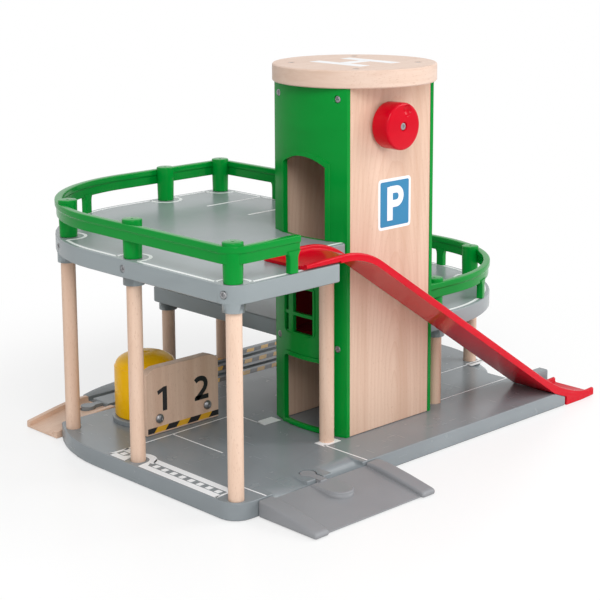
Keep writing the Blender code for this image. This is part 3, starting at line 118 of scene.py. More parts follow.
def rounded(corners, radius, steps=4, closed=True):
    """A line whose corners are bent. Each corner c with neighbours p and n becomes the curve
    (1-t)^2 a + 2t(1-t) c + t^2 b, where a and b lie one radius from c towards p and n, or just under
    half way along a short side."""
    c = np.asarray(corners, float)
    before, after = np.roll(c, 1, 0) - c, np.roll(c, -1, 0) - c
    lengths = [np.linalg.norm(side, axis=1, keepdims=True) for side in (before, after)]
    reach, share = np.broadcast_to(np.asarray(radius, float).reshape(-1, 1), (len(c), 1)), 0.49
    first = c + before / lengths[0] * np.minimum(reach, share * lengths[0])
    last = c + after / lengths[1] * np.minimum(reach, share * lengths[1])
    t = np.linspace(0, 1, steps + 1).reshape(1, -1, 1)
    bends = (1 - t) ** 2 * first[:, None] + 2 * t * (1 - t) * c[:, None] + t**2 * last[:, None]
    if not closed:
        return np.vstack((c[:1], bends[1:-1].reshape(-1, c.shape[1]), c[-1:]))
    return bends.reshape(-1, c.shape[1])


def raised(line, height):
    """Plan points at a height."""
    return np.insert(line, 2, height, axis=1)


def rectangle(left, low, right, high):
    """The corners of a rectangle, from its lower left round to its upper left."""
    return np.array(((left, low), (right, low), (right, high), (left, high)))


def offset(line, distance):
    """An open plan line moved to its left by a distance: each point p moves along its normal n,
    stretched by 1 / cos of half the turn, so that straight runs keep their distance."""
    line = np.asarray(line, float)
    runs = np.diff(line, axis=0)
    runs /= np.linalg.norm(runs, axis=1, keepdims=True)
    normals = np.column_stack((-runs[:, 1], runs[:, 0]))
    before = np.vstack((normals[:1], normals))
    after = np.vstack((normals, normals[-1:]))
    middle = before + after
    return line + middle * (2 * distance / np.sum(middle * middle, axis=1, keepdims=True))


def upper_line(inset, start=52.0):
    """The upper deck's outline at an inset: front edge, left edge, wide bend, back edge, right edge."""
    small = CORNER - inset
    return np.vstack((
        (start, EDGE_FRONT + inset),
        arc((EDGE_LEFT + CORNER, EDGE_FRONT + CORNER), small, 270, 180, 12),
        arc(LEFT_BEND[:2], LEFT_BEND[2] - inset, 180, 90, 64),
        arc((UPPER_RIGHT - CORNER, EDGE_BACK - CORNER), small, 90, 0, 12),
        (UPPER_RIGHT - inset, TOWER_BACK + 3.0),
    ))


def middle_line(inset):
    """The middle deck's outline at an inset: front edge, wide bend, right edge, back edge."""
    return np.vstack((
        (TOWER[0] + 51.7, 38.0 + inset),
        arc(RIGHT_BEND[:2], RIGHT_BEND[2] - inset, 270, 360, 64),
        arc((EDGE_RIGHT - CORNER, EDGE_BACK - CORNER), CORNER - inset, 0, 90, 12),
        (228.0, EDGE_BACK - inset),
    ))


def on_bend(bend, angle, inset):
    """The point at an angle of a wide bend, moved inwards."""
    return tuple(arc(bend[:2], bend[2] - inset, angle, angle, 1)[0])


# the tower's bulged side, part of a circle: how far it bulges, how far its edges lie from the
# tower's middle, half its width, and from these the circle's radius and middle
SIDE_BULGE, SIDE_EDGE, SIDE_HALF = 8.0, 46.7, 38.25
SIDE_RADIUS = (SIDE_HALF**2 + SIDE_BULGE**2) / (2 * SIDE_BULGE)
SIDE_CENTRE = SIDE_EDGE + SIDE_BULGE - SIDE_RADIUS


def shell_x(y):
    """How far the tower's bulged side lies from its middle plane, the circle's sqrt(r^2 - y^2)."""
    return SIDE_CENTRE + np.sqrt(SIDE_RADIUS**2 - (np.asarray(y) - TOWER[1]) ** 2)


# Surfaces


class Shape:
    """Closed surfaces of one piece, gathered and then made one mesh."""

    def __init__(self):
        self.points, self.faces, self.count = [], [], 0

    def grid(self, rings, loop=False, caps=True):
        """Joins rings of points, an array of (ring, point, 3), into a closed skin: point j of ring i
        has the number i n + j, and each face joins it to the next point and the next ring."""
        rings = np.asarray(rings, float)
        rows, columns = rings.shape[:2]
        i, j = np.arange(rows if loop else rows - 1)[:, None], np.arange(columns)[None, :]
        here, down = i * columns, (i + 1) % rows * columns
        across = (j + 1) % columns
        faces = np.stack((here + j, down + j, down + across, here + across), axis=-1).reshape(-1, 4) + self.count
        faces = faces.tolist()
        if caps and not loop:
            first = np.arange(columns)[::-1] + self.count
            faces += [first.tolist(), (first[::-1] + (rows - 1) * columns).tolist()]
        self.points.append(rings.reshape(-1, 3))
        self.faces += faces
        self.count += rows * columns
        return self

    def swept(self, line, profile):
        """Carries a closed profile of (inset, height) along a plan line that is a function of the
        inset: point (i, k) is (line(inset k) at i, height k)."""
        return self.grid(np.stack([raised(line(inset), height) for inset, height in profile], axis=1))

    def strip(self, line, width, low, high):
        """A flat strip of a width along the middle of a plan line, between two heights."""
        left, right = offset(line, width / 2), offset(line, -width / 2)
        ring = ((left, low), (left, high), (right, high), (right, low))
        return self.grid(np.stack([raised(side, z) for side, z in ring], axis=1))

    def turned(self, centre, profile, axis="Z", steps=64):
        """Turns a profile of (radius, height) about an axis: point (k, a) is
        centre + r_k (cos a e1 + sin a e2) + h_k e3. Radius 0 closes an end."""
        e1, e2, e3 = np.roll(np.eye(3), -1 - "XYZ".index(axis), axis=0)
        a = np.linspace(0, 2 * np.pi, steps, endpoint=False)[None, :, None]
        r, h = (np.asarray(column, float)[:, None, None] for column in zip(*profile))
        return self.grid(np.asarray(centre, float) + r * (np.cos(a) * e1 + np.sin(a) * e2) + h * e3)

    def plate(self, outline, low, high, edge=0.0, plane="XY"):
        """A flat outline made solid between two levels across its plane, its edges eased by edge:
        rings of the outline shrunk towards its middle by 0 or edge."""
        outline = np.asarray(outline, float)
        middle = (outline.min(0) + outline.max(0)) / 2
        half = (outline.max(0) - outline.min(0)) / 2
        small = middle + (outline - middle) * (1 - edge / half)
        levels = ((small, low), (outline, low + edge), (outline, high - edge), (small, high))
        rings = np.stack([raised(at, z) for at, z in levels])
        return self.grid(rings[:, :, [0, 1, 2] if plane == "XY" else [0, 2, 1]])

    def tube(self, path, radius, sides):
        """A round tube along a path that keeps across the Y axis: circles round each point, whose
        first axis is the path's direction crossed with Y and whose second is square to both."""
        path = np.asarray(path, float)
        along = np.gradient(path, axis=0)
        along /= np.linalg.norm(along, axis=1, keepdims=True)
        first = np.cross(along, (0.0, 1.0, 0.0))
        first /= np.linalg.norm(first, axis=1, keepdims=True)
        second = np.cross(along, first)
        a = np.linspace(0, 2 * np.pi, sides, endpoint=False)[None, :, None]
        return self.grid(path[:, None] + radius * (np.cos(a) * first[:, None] + np.sin(a) * second[:, None]))

    def piece(self, name, look, body, replaced=(), angle=35.0, slot=None):
        """Makes the mesh, closes its poles, turns its faces outwards and lets it ride on a body."""
        mesh = bpy.data.meshes.new(name)
        mesh.from_pydata(placed(np.vstack(self.points)), [], self.faces)
        bm = bmesh.new()
        bm.from_mesh(mesh)
        bmesh.ops.remove_doubles(bm, verts=bm.verts, dist=2e-7)
        bmesh.ops.recalc_face_normals(bm, faces=bm.faces)
        bm.to_mesh(mesh)
        bm.free()
        return settled(name, mesh, look, body, replaced, angle)


def linked(name, data):
    """A new object in the scene."""
    obj = bpy.data.objects.new(name, data)
    bpy.context.scene.collection.objects.link(obj)
    return obj


def settled(name, mesh, look, body, replaced, angle):
    """Puts a mesh into the scene as a piece with its finish, its body and the nodes it stands for. A piece without a
    body is left loose."""
    mesh.shade_smooth()
    mesh.set_sharp_from_angle(angle=math.radians(angle))
    obj = linked(name, mesh)
    mesh.materials.clear()
    mesh.materials.append(finish(look))
    if body:
        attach(obj, body)
    if replaced:
        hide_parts(*replaced)
    return obj


def merged_copy(node, look, angle=50.0):
    """Stands a copy of a CAD node in its place, with its loose triangles merged into whole faces.
    Large faces stay flat and the narrow eased edges between them shade round."""
    weld, flat = 2e-6, math.radians(0.05)
    source = frame["nodes"][node]
    mesh = source.data.copy()
    bm = bmesh.new()
    bm.from_mesh(mesh)
    bmesh.ops.remove_doubles(bm, verts=bm.verts, dist=weld)
    bmesh.ops.dissolve_limit(bm, angle_limit=flat, verts=bm.verts, edges=bm.edges)
    bm.to_mesh(mesh)
    bm.free()
    obj = settled(node + "_finished", mesh, look, source["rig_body"], (node,), angle)
    even = obj.modifiers.new("even_normals", "WEIGHTED_NORMAL")
    even.keep_sharp = True
    return obj


def bulged(obj, side):
    """Shades the flat strips of the tower's side as one round wall: a face corner whose face looks
    close to the circle's radius gets that radius as its normal."""
    close = math.cos(math.radians(12.0))
    obj.modifiers.clear()
    mesh = obj.data

    def read(items, key, width, kind=float):
        values = np.empty(len(items) * width, kind)
        items.foreach_get(key, values)
        return values.reshape(-1, width)

    corner = read(mesh.loops, "vertex_index", 1, int).ravel()
    at = read(mesh.vertices, "co", 3)[corner] * 1000.0 + PLAN_CENTRE
    facing = np.repeat(read(mesh.polygons, "normal", 3), read(mesh.polygons, "loop_total", 1, int).ravel(), axis=0)
    shaded = read(mesh.corner_normals, "vector", 3)
    middle = np.array((TOWER[0] + side * SIDE_CENTRE, TOWER[1], 0.0))
    radial = (at - middle) * (1.0, 1.0, 0.0)
    radial /= np.linalg.norm(radial, axis=1, keepdims=True)
    agree = np.sum(radial * facing, axis=1)
    round_wall = abs(agree) > close
    shaded[round_wall] = radial[round_wall] * np.sign(agree[round_wall])[:, None]
    mesh.normals_split_custom_set(shaded)


# Materials


class Value:
    """A shader value. Its operators add Math nodes, so that a formula in Python makes the nodes."""

    def __init__(self, finish, socket):
        self.finish, self.socket = finish, socket

    def maths(self, operation, first, second):
        return self.finish.node("Math", {"operation": operation}, {0: first, 1: second})

    def __add__(self, other):
        return self.maths("ADD", self, other)

    def __radd__(self, other):
        return self.maths("ADD", other, self)

    def __sub__(self, other):
        return self.maths("SUBTRACT", self, other)

    def __rsub__(self, other):
        return self.maths("SUBTRACT", other, self)

    def __mul__(self, other):
        return self.maths("MULTIPLY", self, other)

    def __rmul__(self, other):
        return self.maths("MULTIPLY", other, self)

    def __pow__(self, other):
        return self.maths("POWER", self, other)


class Nodes:
    """A node tree and the one way to add nodes to it."""

    def __init__(self, tree):
        self.tree = tree

    def node(self, kind, settings, values, output=0):
        """Adds a node: its settings first, then the values or links of its sockets."""
        made = self.tree.nodes.new("ShaderNode" + kind)
        for key, value in settings.items():
            setattr(made, key, value)
        for key, value in values.items():
            self.give(made, key, value)
        return Value(self, made.outputs[output])

    def ray(self, kind):
        """1 for rays of a kind and 0 for others."""
        return self.node("LightPath", {}, {}, f"Is {kind} Ray")

    def give(self, node, key, value):
        """Links a value to a socket of a node, or sets it there."""
        if isinstance(value, Value):
            self.tree.links.new(value.socket, node.inputs[key])
        else:
            node.inputs[key].default_value = value


class Finish(Nodes):
    """One material and what it is often made of."""

    def __init__(self, name, roughness, metallic=0.0, coat=0.0, coat_roughness=0.1, gloss=0.5):
        self.material = bpy.data.materials.new(name)
        self.material.use_nodes = True
        super().__init__(self.material.node_tree)
        self.shader = self.tree.nodes["Principled BSDF"]
        for key, value in (("Roughness", roughness), ("Metallic", metallic), ("Coat Weight", coat),
                           ("Coat Roughness", coat_roughness), ("Specular IOR Level", gloss)):
            self.feed(key, value)
        self.place = self.node("TexCoord", {}, {}, "Object")

    def feed(self, key, value):
        """Links a value to a socket of the shader, or sets it there."""
        self.give(self.shader, key, value)

    def stretched(self, scale, turn=(0.0, 0.0, 0.0), shift=(0.0, 0.0, 0.0)):
        """Object coordinates multiplied by a scale for each axis."""
        return self.node("Mapping", {}, {"Vector": self.place, "Scale": scale, "Rotation": turn, "Location": shift})

    def noise(self, scale, detail=2.0, rough=0.5, vector=None, distortion=0.0):
        """Noise from 0 to 1. The scale is in waves a metre."""
        return self.node("TexNoise", {}, {
            "Vector": vector or self.place, "Scale": scale, "Detail": detail, "Roughness": rough,
            "Distortion": distortion,
        })

    def streaks(self, scale, detail, rough=0.5, distortion=0.0, turn=(0.0, 0.0, 0.0)):
        """Noise drawn out along an axis: its scale is in waves a metre for each axis."""
        return self.noise(1.0, detail, rough, self.stretched(scale, turn), distortion)

    def waves(self, vector, direction, scale, distortion, detail=2.0, detail_scale=1.0, profile="SIN", kind="bands"):
        """Bands or rings from 0 to 1."""
        settings = {"wave_type": kind.upper(), kind + "_direction": direction, "wave_profile": profile}
        return self.node("TexWave", settings, {
            "Vector": vector, "Scale": scale, "Distortion": distortion, "Detail": detail,
            "Detail Scale": detail_scale,
        }, 1)

    def ramp(self, value, low, high):
        """0 below low, 1 above high and a smooth rise between them."""
        return self.node("MapRange", {"interpolation_type": "SMOOTHSTEP"},
                         {"Value": value, "From Min": low, "From Max": high})

    def blend(self, factor, first, second):
        """Mixes two colours."""
        first, second = (c if isinstance(c, Value) else (*c, 1.0) for c in (first, second))
        return self.node("Mix", {"data_type": "RGBA"}, {0: factor, 6: first, 7: second}, 2)

    def bump(self, height, strength, depth):
        """Normals from a height, whose full step is the depth in metres."""
        self.feed("Normal", self.node("Bump", {}, {"Strength": strength, "Distance": depth, "Height": height}))


def shade(colour, factor):
    """A colour made darker or lighter."""
    return tuple(min(1.0, channel * factor) for channel in colour)


def tinted(colour, factors, tone=1.0):
    """A colour whose channels are each made darker by a factor of their own."""
    return tuple(channel * tone * factor for channel, factor in zip(colour, factors))


def moulded(name, colour, roughness, grain, gloss=0.2):
    """Moulded plastic: slow drifts of tone where the melt flowed, a faint orange peel in the gloss,
    and sparse hair scratches that dull it."""
    finish = Finish(name, roughness, gloss=gloss)
    drift = finish.noise(9.0, 3.0, 0.6)
    flow = finish.streaks((14.0, 14.0, 60.0), 2.0, distortion=0.4)
    tone = finish.blend(finish.ramp(drift * 0.6 + flow * 0.4, 0.35, 0.65), shade(colour, 0.94), shade(colour, 1.05))
    scratch = finish.streaks((700.0, 35.0, 700.0), 1.0, turn=(0.0, 0.3, 0.5))
    other = finish.streaks((40.0, 800.0, 800.0), 1.0, turn=(0.2, 0.0, -0.4))
    hair = finish.ramp(scratch, 0.71, 0.76) + finish.ramp(other, 0.72, 0.77)
    finish.feed("Base Color", tone)
    finish.feed("Roughness", roughness - grain + finish.noise(60.0, 3.0, 0.5) * (2 * grain) + hair * 0.015)
    finish.bump(finish.noise(420.0, 2.0, 0.4) * 0.7 + finish.noise(2600.0) * 0.3, 0.25, 0.00005)
    return finish.material


def beech(name, colour, along="Z", tone=1.0, contrast=1.0, arches=0.0):
    """Lacquered beech: broad bands of growth, fine fibres and the short dark flecks that mark this
    wood, all drawn out along the grain. A flat sawn board also shows nested arches, rings round a
    point low on the board, stretched along the grain."""
    finish = Finish(name, 0.42, coat=0.08, coat_roughness=0.25, gloss=0.35)

    def grain(length, across):
        """A scale for each axis, the grain's own and those across it."""
        return tuple(length if axis == along else across for axis in "XYZ")

    warp = finish.streaks(grain(5.0, 16.0), 2.0)
    bands = finish.streaks(grain(4.0, 110.0), 3.0, 0.55, 0.7)
    rings = finish.waves(finish.stretched(grain(9.0, 90.0)), "DIAGONAL", 1.0, 7.0, 2.0, 0.6, "SAW")
    fibre = finish.streaks(grain(45.0, 1500.0), 3.0, 0.6)
    fleck = finish.streaks(grain(330.0, 2300.0), 1.0)
    pore = finish.ramp(fleck, 0.64, 0.72)
    body = finish.blend(finish.ramp(bands * 0.55 + warp * 0.45, 0.36, 0.66), shade(colour, 1.07 * tone),
                        tinted(colour, (0.90, 0.82, 0.77), tone))
    body = finish.blend((rings ** 3.0) * 0.16 * contrast, body, tinted(colour, (0.80, 0.66, 0.56), tone))
    if arches:
        board = finish.stretched((26.0, 0.0, 4.2), shift=(-0.05, 0.0, -0.13))
        ring = finish.waves(board, "SPHERICAL", 3.2, 1.6, 2.0, 1.4, "SAW", "rings")
        body = finish.blend((ring ** 4.0) * arches, body, tinted(colour, (0.86, 0.72, 0.62), tone))
    body = finish.blend(fibre * 0.30 * contrast, body, tinted(colour, (0.93, 0.87, 0.83), tone))
    body = finish.blend(pore * 0.42 * contrast, body, tinted(colour, (0.62, 0.47, 0.38), tone))
    finish.feed("Base Color", body)
    finish.feed("Roughness", 0.38 + fibre * 0.12 + pore * 0.1)
    finish.bump(fibre * 0.6 - pore * 0.5, 0.35, 0.00008)
    return finish.material


def end_grain(name, colour):
    """The sawn rim of a round beech disc: grain lines on its sides and ticks of end grain where the
    fibres come out at the rim, told apart by the direction that the rim faces."""
    finish = Finish(name, 0.45, coat=0.05, coat_roughness=0.3, gloss=0.35)
    facing = finish.node("SeparateXYZ", {}, {0: finish.node("TexCoord", {}, {}, "Normal")}, 0)
    across = finish.ramp(facing * facing, 0.55, 0.9)
    long_fibre = finish.streaks((40.0, 1100.0, 1500.0), 3.0, 0.6)
    fleck = finish.ramp(finish.streaks((260.0, 1800.0, 2400.0), 1.0), 0.63, 0.72)
    tick = finish.waves(finish.stretched((1.0, 1.0, 1.0), (0.7, 0.0, 0.0)), "Y", 330.0, 1.6, 1.0)
    bands = finish.ramp(finish.streaks((5.0, 70.0, 260.0), 3.0, distortion=0.8), 0.35, 0.7)
    dark = tinted(colour, (0.72, 0.58, 0.48))
    body = finish.blend(bands * 0.5, shade(colour, 1.05), tinted(colour, (0.9, 0.82, 0.76)))
    body = finish.blend(long_fibre * 0.28, body, tinted(colour, (0.92, 0.86, 0.82)))
    body = finish.blend((1.0 - across) * fleck * 0.7 + across * (tick ** 3.0) * 0.55, body, dark)
    finish.feed("Base Color", body)
    finish.feed("Roughness", 0.42 + across * 0.14 + long_fibre * 0.08)
    finish.bump(long_fibre * 0.5 - across * tick * 0.5 - fleck * 0.3, 0.3, 0.00008)
    return finish.material


def plated(name, colour, roughness):
    """Plated steel with faint turning marks and dulled spots."""
    finish = Finish(name, roughness, metallic=1.0)
    spots = finish.noise(900.0, 3.0, 0.6)
    marks = finish.streaks((3000.0, 400.0, 3000.0), 2.0)
    finish.feed("Base Color", finish.blend(finish.ramp(spots, 0.35, 0.7), shade(colour, 1.1), shade(colour, 0.78)))
    finish.feed("Roughness", roughness - 0.06 + spots * 0.16 + marks * 0.05)
    finish.bump(marks * 0.6 + spots * 0.4, 0.3, 0.00003)
    return finish.material


def printed(name, colour):
    """A printed or painted mark: one ink with thin spots and a faint tooth."""
    roughness = 0.4
    finish = Finish(name, roughness)
    thin = finish.ramp(finish.noise(260.0, 3.0, 0.6), 0.55, 0.8)
    finish.feed("Base Color", finish.blend(thin * 0.25, colour, tuple(0.8 * c + 0.06 for c in colour)))
    finish.feed("Roughness", roughness - 0.05 + finish.noise(500.0) * 0.1)
    finish.bump(finish.noise(1400.0, 2.0), 0.25, 0.00003)
    return finish.material


def braided(name, colour):
    """A thin braided cord: two sets of yarns that cross as they climb."""
    finish = Finish(name, 0.8)
    one, other = (finish.waves(finish.stretched((scale, 900.0, 900.0)), "DIAGONAL", 0.6, 0.4)
                  for scale in (900.0, -900.0))
    weave = one * 0.5 + other * 0.5
    finish.feed("Base Color", finish.blend(weave, shade(colour, 0.6), shade(colour, 1.5)))
    finish.feed("Roughness", 0.72 + weave * 0.15)
    finish.bump(weave, 0.6, 0.0002)
    return finish.material


def colour_setting(name, description, default):
    """A colour in linear light."""
    return FloatVectorProperty(name=name, description=description, default=default, subtype="COLOR")


def number_setting(name, description, default, unit="NONE"):
    """A number with its name, what it is for and its unit where Blender has one."""
    return FloatProperty(name=name, description=description, default=default, unit=unit)


class GarageColours(bpy.types.PropertyGroup):
    """Colours of the finishes, in linear light."""

    base_grey: colour_setting("Base grey", "Plastic of the base plate", (0.235, 0.262, 0.278))
    deck_grey: colour_setting("Deck grey", "Plastic of both decks", (0.275, 0.312, 0.325))
    ramp_grey: colour_setting("Ramp grey", "Plastic of the front ramp", (0.262, 0.268, 0.282))
    green: colour_setting("Green", "Plastic of the railings and the tower's sides", (0.0, 0.255, 0.030))
    red: colour_setting("Red", "Plastic of the slide and the knob", (0.57, 0.0, 0.012))
    dark_red: colour_setting("Dark red", "Plastic of the lift cabin", (0.17, 0.002, 0.004))
    yellow: colour_setting("Yellow", "Plastic of the round tank", (1.0, 0.53, 0.0))
    wood: colour_setting("Wood", "Lacquered beech", (0.73, 0.535, 0.415))
    lid: colour_setting("Lid wood", "Paler beech of the lid", (0.70, 0.535, 0.44))
    steel: colour_setting("Steel", "Plated screws and shaft", (0.34, 0.34, 0.35))
    cord: colour_setting("Cord", "Braided lift cord", (0.04, 0.04, 0.045))
    white: colour_setting("White", "Painted lines and signs", (0.86, 0.87, 0.88))
    blue: colour_setting("Blue", "Ground of the parking sign", (0.012, 0.20, 0.40))
    black: colour_setting("Black", "Bay numbers and hazard bands", (0.014, 0.014, 0.016))
    hazard: colour_setting("Hazard yellow", "Light part of the hazard bands", (0.80, 0.42, 0.02))


class GarageSizes(bpy.types.PropertyGroup):
    """Sizes of the details that the scene adds, in millimetres."""

    line_width: number_setting("Line width", "Width of the thin lines on the base", 1.2)
    rim_width: number_setting("Rim line width", "Width of the line along a deck's rim", 2.6)
    rim_inset: number_setting("Rim line inset", "From a deck's edge to its line", 4.4)
    band_width: number_setting("Band width", "Width of the white bands on the base", 5.6)
    paint: number_setting("Paint thickness", "How far a painted mark stands proud", 0.1)
    rail_edge: number_setting("Railing edge", "How far the railing's edges are eased", 0.8)
    wall_edge: number_setting("Slide edge", "How far the slide's edges are eased", 1.3)


class GarageStage(bpy.types.PropertyGroup):
    """Camera and light."""

    lens: number_setting("Lens", "Focal length for a sensor 36 mm wide", 93.804, "CAMERA")
    key: number_setting("Key lamp", "Power of the large lamp above the front left", 11.0, "POWER")
    fill: number_setting("Fill lamp", "Power of the lamp at the front right", 8.0, "POWER")
    sky: number_setting("Sky", "Strength of the even light from all round", 0.66)


# each finish: how it is made, its name, its colour and what else its maker takes
RECIPES = {
    "base": (moulded, "base_plastic", "base_grey", 0.26, 0.04, 0.28),
    "deck": (moulded, "deck_plastic", "deck_grey", 0.24, 0.04, 0.28),
    "ramp": (moulded, "ramp_plastic", "ramp_grey", 0.42, 0.04, 0.25),
    "green": (moulded, "green_plastic", "green", 0.17, 0.03, 0.12),
    "red": (moulded, "red_plastic", "red", 0.16, 0.03, 0.14),
    "dark_red": (moulded, "dark_red_plastic", "dark_red", 0.36, 0.04),
    "yellow": (moulded, "yellow_plastic", "yellow", 0.28, 0.03),
    "wood_up": (beech, "beech_upright", "wood"),
    "wood_panel": (beech, "beech_panel", "wood", "Z", 0.97, 0.8, 0.45),
    "wood_along": (beech, "beech_along", "wood", "X", 0.97),
    "wood_lid": (end_grain, "beech_lid", "lid"),
    # the bay wall's beech is a lighter copy of the wood, its tone raised by 1.08: painted light that offsets the
    # shade the wall stands in
    "wood_wall_painted_light": (beech, "beech_wall", "wood", "Z", 1.08),
    "steel": (plated, "plated_steel", "steel", 0.34),
    "cord": (braided, "braided_cord", "cord"),
    "white": (printed, "white_paint", "white"),
    "blue": (printed, "blue_print", "blue"),
    "black": (printed, "black_print", "black"),
    "hazard": (printed, "hazard_print", "hazard"),
}
FINISHES = {}


def finish(name):
    """The finish of a name, made when it is first asked for."""
    if name not in FINISHES:
        maker, title, colour, *rest = RECIPES[name]
        FINISHES[name] = maker(title, getattr(bpy.context.scene.garage_colours, colour), *rest)
    return FINISHES[name]


def painted(shape, name, ink, slot="grey_plastic"):
    """A painted mark of the garage: a thin closed plate on the surface it marks."""
    shape.piece(name, ink, "garage", slot=slot)


def corners_of(node):
    """The low and the high corner of a node's box, in the drawing's millimetres."""
    return [np.array(corner) * 1000.0 + PLAN_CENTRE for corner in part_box(node)]


def middle_of(node):
    """The middle and the half size of a node's box, in the drawing's millimetres."""
    low, high = corners_of(node)
    return (low + high) / 2, (high - low) / 2


# Operators


class GARAGE_OT_base(bpy.types.Operator):
    """Finishes the base plate and paints its lines"""

    bl_idname = "garage.base"
    bl_label = "Base plate"

    def execute(self, context):
        sizes = context.scene.garage_sizes
        merged_copy("base_plate", "base")
        low, high = BASE_TOP - SUNK, BASE_TOP + sizes.paint
        lines, thin, post = Shape(), sizes.line_width, (-0.4, 106.0)
        # the kerb band on the left: two white strips that part round a post, and white squares
        # in the lane between them
        lines.strip(arc(post, 11.15, -78, 78, 24), sizes.band_width, low, high)
        for strip in (
            ((-8.0, 11.3), (-2.3, 13.2), (-2.3, 92.0), (1.5, 94.6), (1.5, 97.8), (-8.0, 96.2)),
            ((4.4, 13.4), (10.1, 20.0), (10.1, 98.0), (4.4, 94.2)),
            ((-8.0, 112.0), (0.8, 114.6), (1.5, 117.6), (-2.3, 120.0), (-2.3, 129.2), (-8.0, 131.6)),
            ((4.4, 118.6), (10.1, 113.0), (10.1, 131.7), (4.4, 129.4)),
        ):
            lines.plate(strip, low, high)
        for line, width in (
            (((-7.7, 12.2), (4.6, 13.0)), 1.8),
            (((-7.9, 130.4), (13.2, 130.4)), 2.4),
            (((9.6, 20.2), (18.2, 12.2), (18.9, -9.0)), thin),
            (((12.6, 130.9), (110.6, 133.8), (116.9, 127.6), (116.9, 104.0)), thin),
            (((53.0, 132.0), (53.0, 74.8)), thin),
            (((117.2, 35.0), (117.2, -8.8)), thin),
            (((234.0, 45.3), (343.6, 45.3)), thin),
            (((241.0, 93.4), (374.0, 93.4)), thin),
        ):
            lines.strip(line, width, low, high)
        lines.plate(((116.3, 98.6), (133.4, 98.6), (133.4, 109.6), (120.0, 109.6), (116.3, 107.0)), low, high)
        for patch in ((115.0, 32.8, 133.0, 43.0), (349.0, 88.6, 369.0, 96.0)):
            lines.plate(rectangle(*patch), low, high)
        for y in (*(np.arange(8) * -9.55 + 86.1), 123.7):
            lines.plate(rounded(rectangle(-1.5, y - 2.3, 3.1, y + 2.3), 0.5), low, high)
        painted(lines, "base_lines", "white")
        # the level crossing: slanted light and dark blocks beside and between the grooves
        dark, light = Shape(), Shape()
        wide = 8.5
        for foot, head in ((206.9, 214.7), (231.0, 239.4), (255.4, 262.8)):
            lean = head - foot
            for k, x in enumerate(np.arange(11) * wide + foot - 51.2):
                bar = ((x, foot), (x + wide, foot), (x + wide + lean, head), (x + lean, head))
                (dark if k % 2 else light).plate(bar, low, high)
        painted(dark, "strip_hazard_dark", "black")
        painted(light, "strip_hazard_light", "hazard")
        return {"FINISHED"}


def rim_with_rings(line, stiles):
    """Runs of a rim line, broken where it meets a stile, where an arc round the stile takes over
    on the deck's side."""
    radius, dense = 12.6, [line[:1]]
    for first, second in zip(line, line[1:]):
        steps = max(1, int(np.hypot(*(second - first)) // 1.0))
        dense.append(first + (second - first) * np.linspace(0, 1, steps + 1)[1:, None])
    dense = np.vstack(dense)
    middle = dense.mean(0)
    owner = np.full(len(dense), -1)
    for k, stile in enumerate(stiles):
        owner[np.hypot(*(dense - stile).T) < radius] = k
    runs, starts = [], np.flatnonzero(np.diff(np.r_[-9, owner, -9]))
    for a, b in zip(starts, starts[1:]):
        if owner[a] < 0:
            runs.append(dense[a:b])
            continue
        centre = np.array(stiles[owner[a]])
        enter, leave = (math.atan2(*(dense[k] - centre)[::-1]) for k in (max(a - 1, 0), min(b, len(dense) - 1)))
        sweep = (leave - enter) % (2 * math.pi)
        turn = enter + sweep / 2
        if np.dot((math.cos(turn), math.sin(turn)), middle - centre) < 0:
            sweep -= 2 * math.pi
        runs.append(arc(centre, radius, math.degrees(enter), math.degrees(enter + sweep), 20))
    return [run for run in runs if len(run) > 2]


def stile_places():
    """Plan places of the wide stiles of the upper and the middle railing."""
    upper = [(-0.4, -0.1), (-0.4, 106.0), on_bend(LEFT_BEND, 154.0, 8.4), (154.0, 260.4), (214.4, 260.4)]
    middle = [(251.5, 47.2), on_bend(RIGHT_BEND, -27.8, 9.0), (371.4, 259.4), (235.2, 260.4)]
    return upper, middle


class GARAGE_OT_decks(bpy.types.Operator):
    """Finishes both decks and paints the lines along their rims"""

    bl_idname = "garage.decks"
    bl_label = "Decks"

    def execute(self, context):
        sizes = context.scene.garage_sizes
        upper, middle = stile_places()
        merged_copy("upper_deck", "deck")
        merged_copy("middle_deck", "deck")
        lines = Shape()
        for line, stiles, top in (
            (upper_line(sizes.rim_inset, 85.7), upper, UPPER_TOP),
            (middle_line(sizes.rim_inset), middle, MIDDLE_TOP),
        ):
            for run in rim_with_rings(line, stiles):
                lines.strip(run, sizes.rim_width, top - SUNK, top + sizes.paint)
        low, high = UPPER_TOP - SUNK, UPPER_TOP + sizes.paint
        nose = ((138.0, 37.4), (85.7, 37.4), (85.7, EDGE_FRONT + sizes.rim_inset))
        lines.strip(nose, sizes.rim_width, low, high)
        for y in (163.5, 214.0):
            lines.strip(((220.0, y), (160.0, y)), 2.0, low, high)
        painted(lines, "deck_lines", "white", slot="light_grey_plastic")
        return {"FINISHED"}


class GARAGE_OT_posts(bpy.types.Operator):
    """Turns the beech posts"""

    bl_idname = "garage.posts"
    bl_label = "Posts"

    def execute(self, context):
        for node in [name for name in frame["nodes"] if name.startswith("post_")]:
            low, high = corners_of(node)
            x, y = (low + high)[:2] / 2
            radius, length, ease = (high - low)[0] / 2, (high - low)[2], 0.7
            end = [(0.0, 0.0), (radius - ease, 0.0), (radius - 0.2, 0.2), (radius, ease)]
            profile = end + [(radius, length * k / 8) for k in range(1, 8)] + [(r, length - h) for r, h in end[::-1]]
            Shape().turned((x, y, low[2]), profile).piece(node + "_turned", "wood_up", "garage", (node,))
        return {"FINISHED"}


def stile(shape, x, y, foot):
    """A round stile that widens upwards, with an eased rim and a small hole in its top."""
    low, top, height, ease = 6.6, 7.2, 27.6, 0.9
    rim = arc((top - ease, height - ease), ease, 0, 90, 3)
    hole = [(1.0, height), (1.0, height - 1.4), (0.0, height - 1.4)]
    shape.turned((x, y, foot), [(0.0, 0.0), (low, 0.0), *rim, *hole], steps=56)


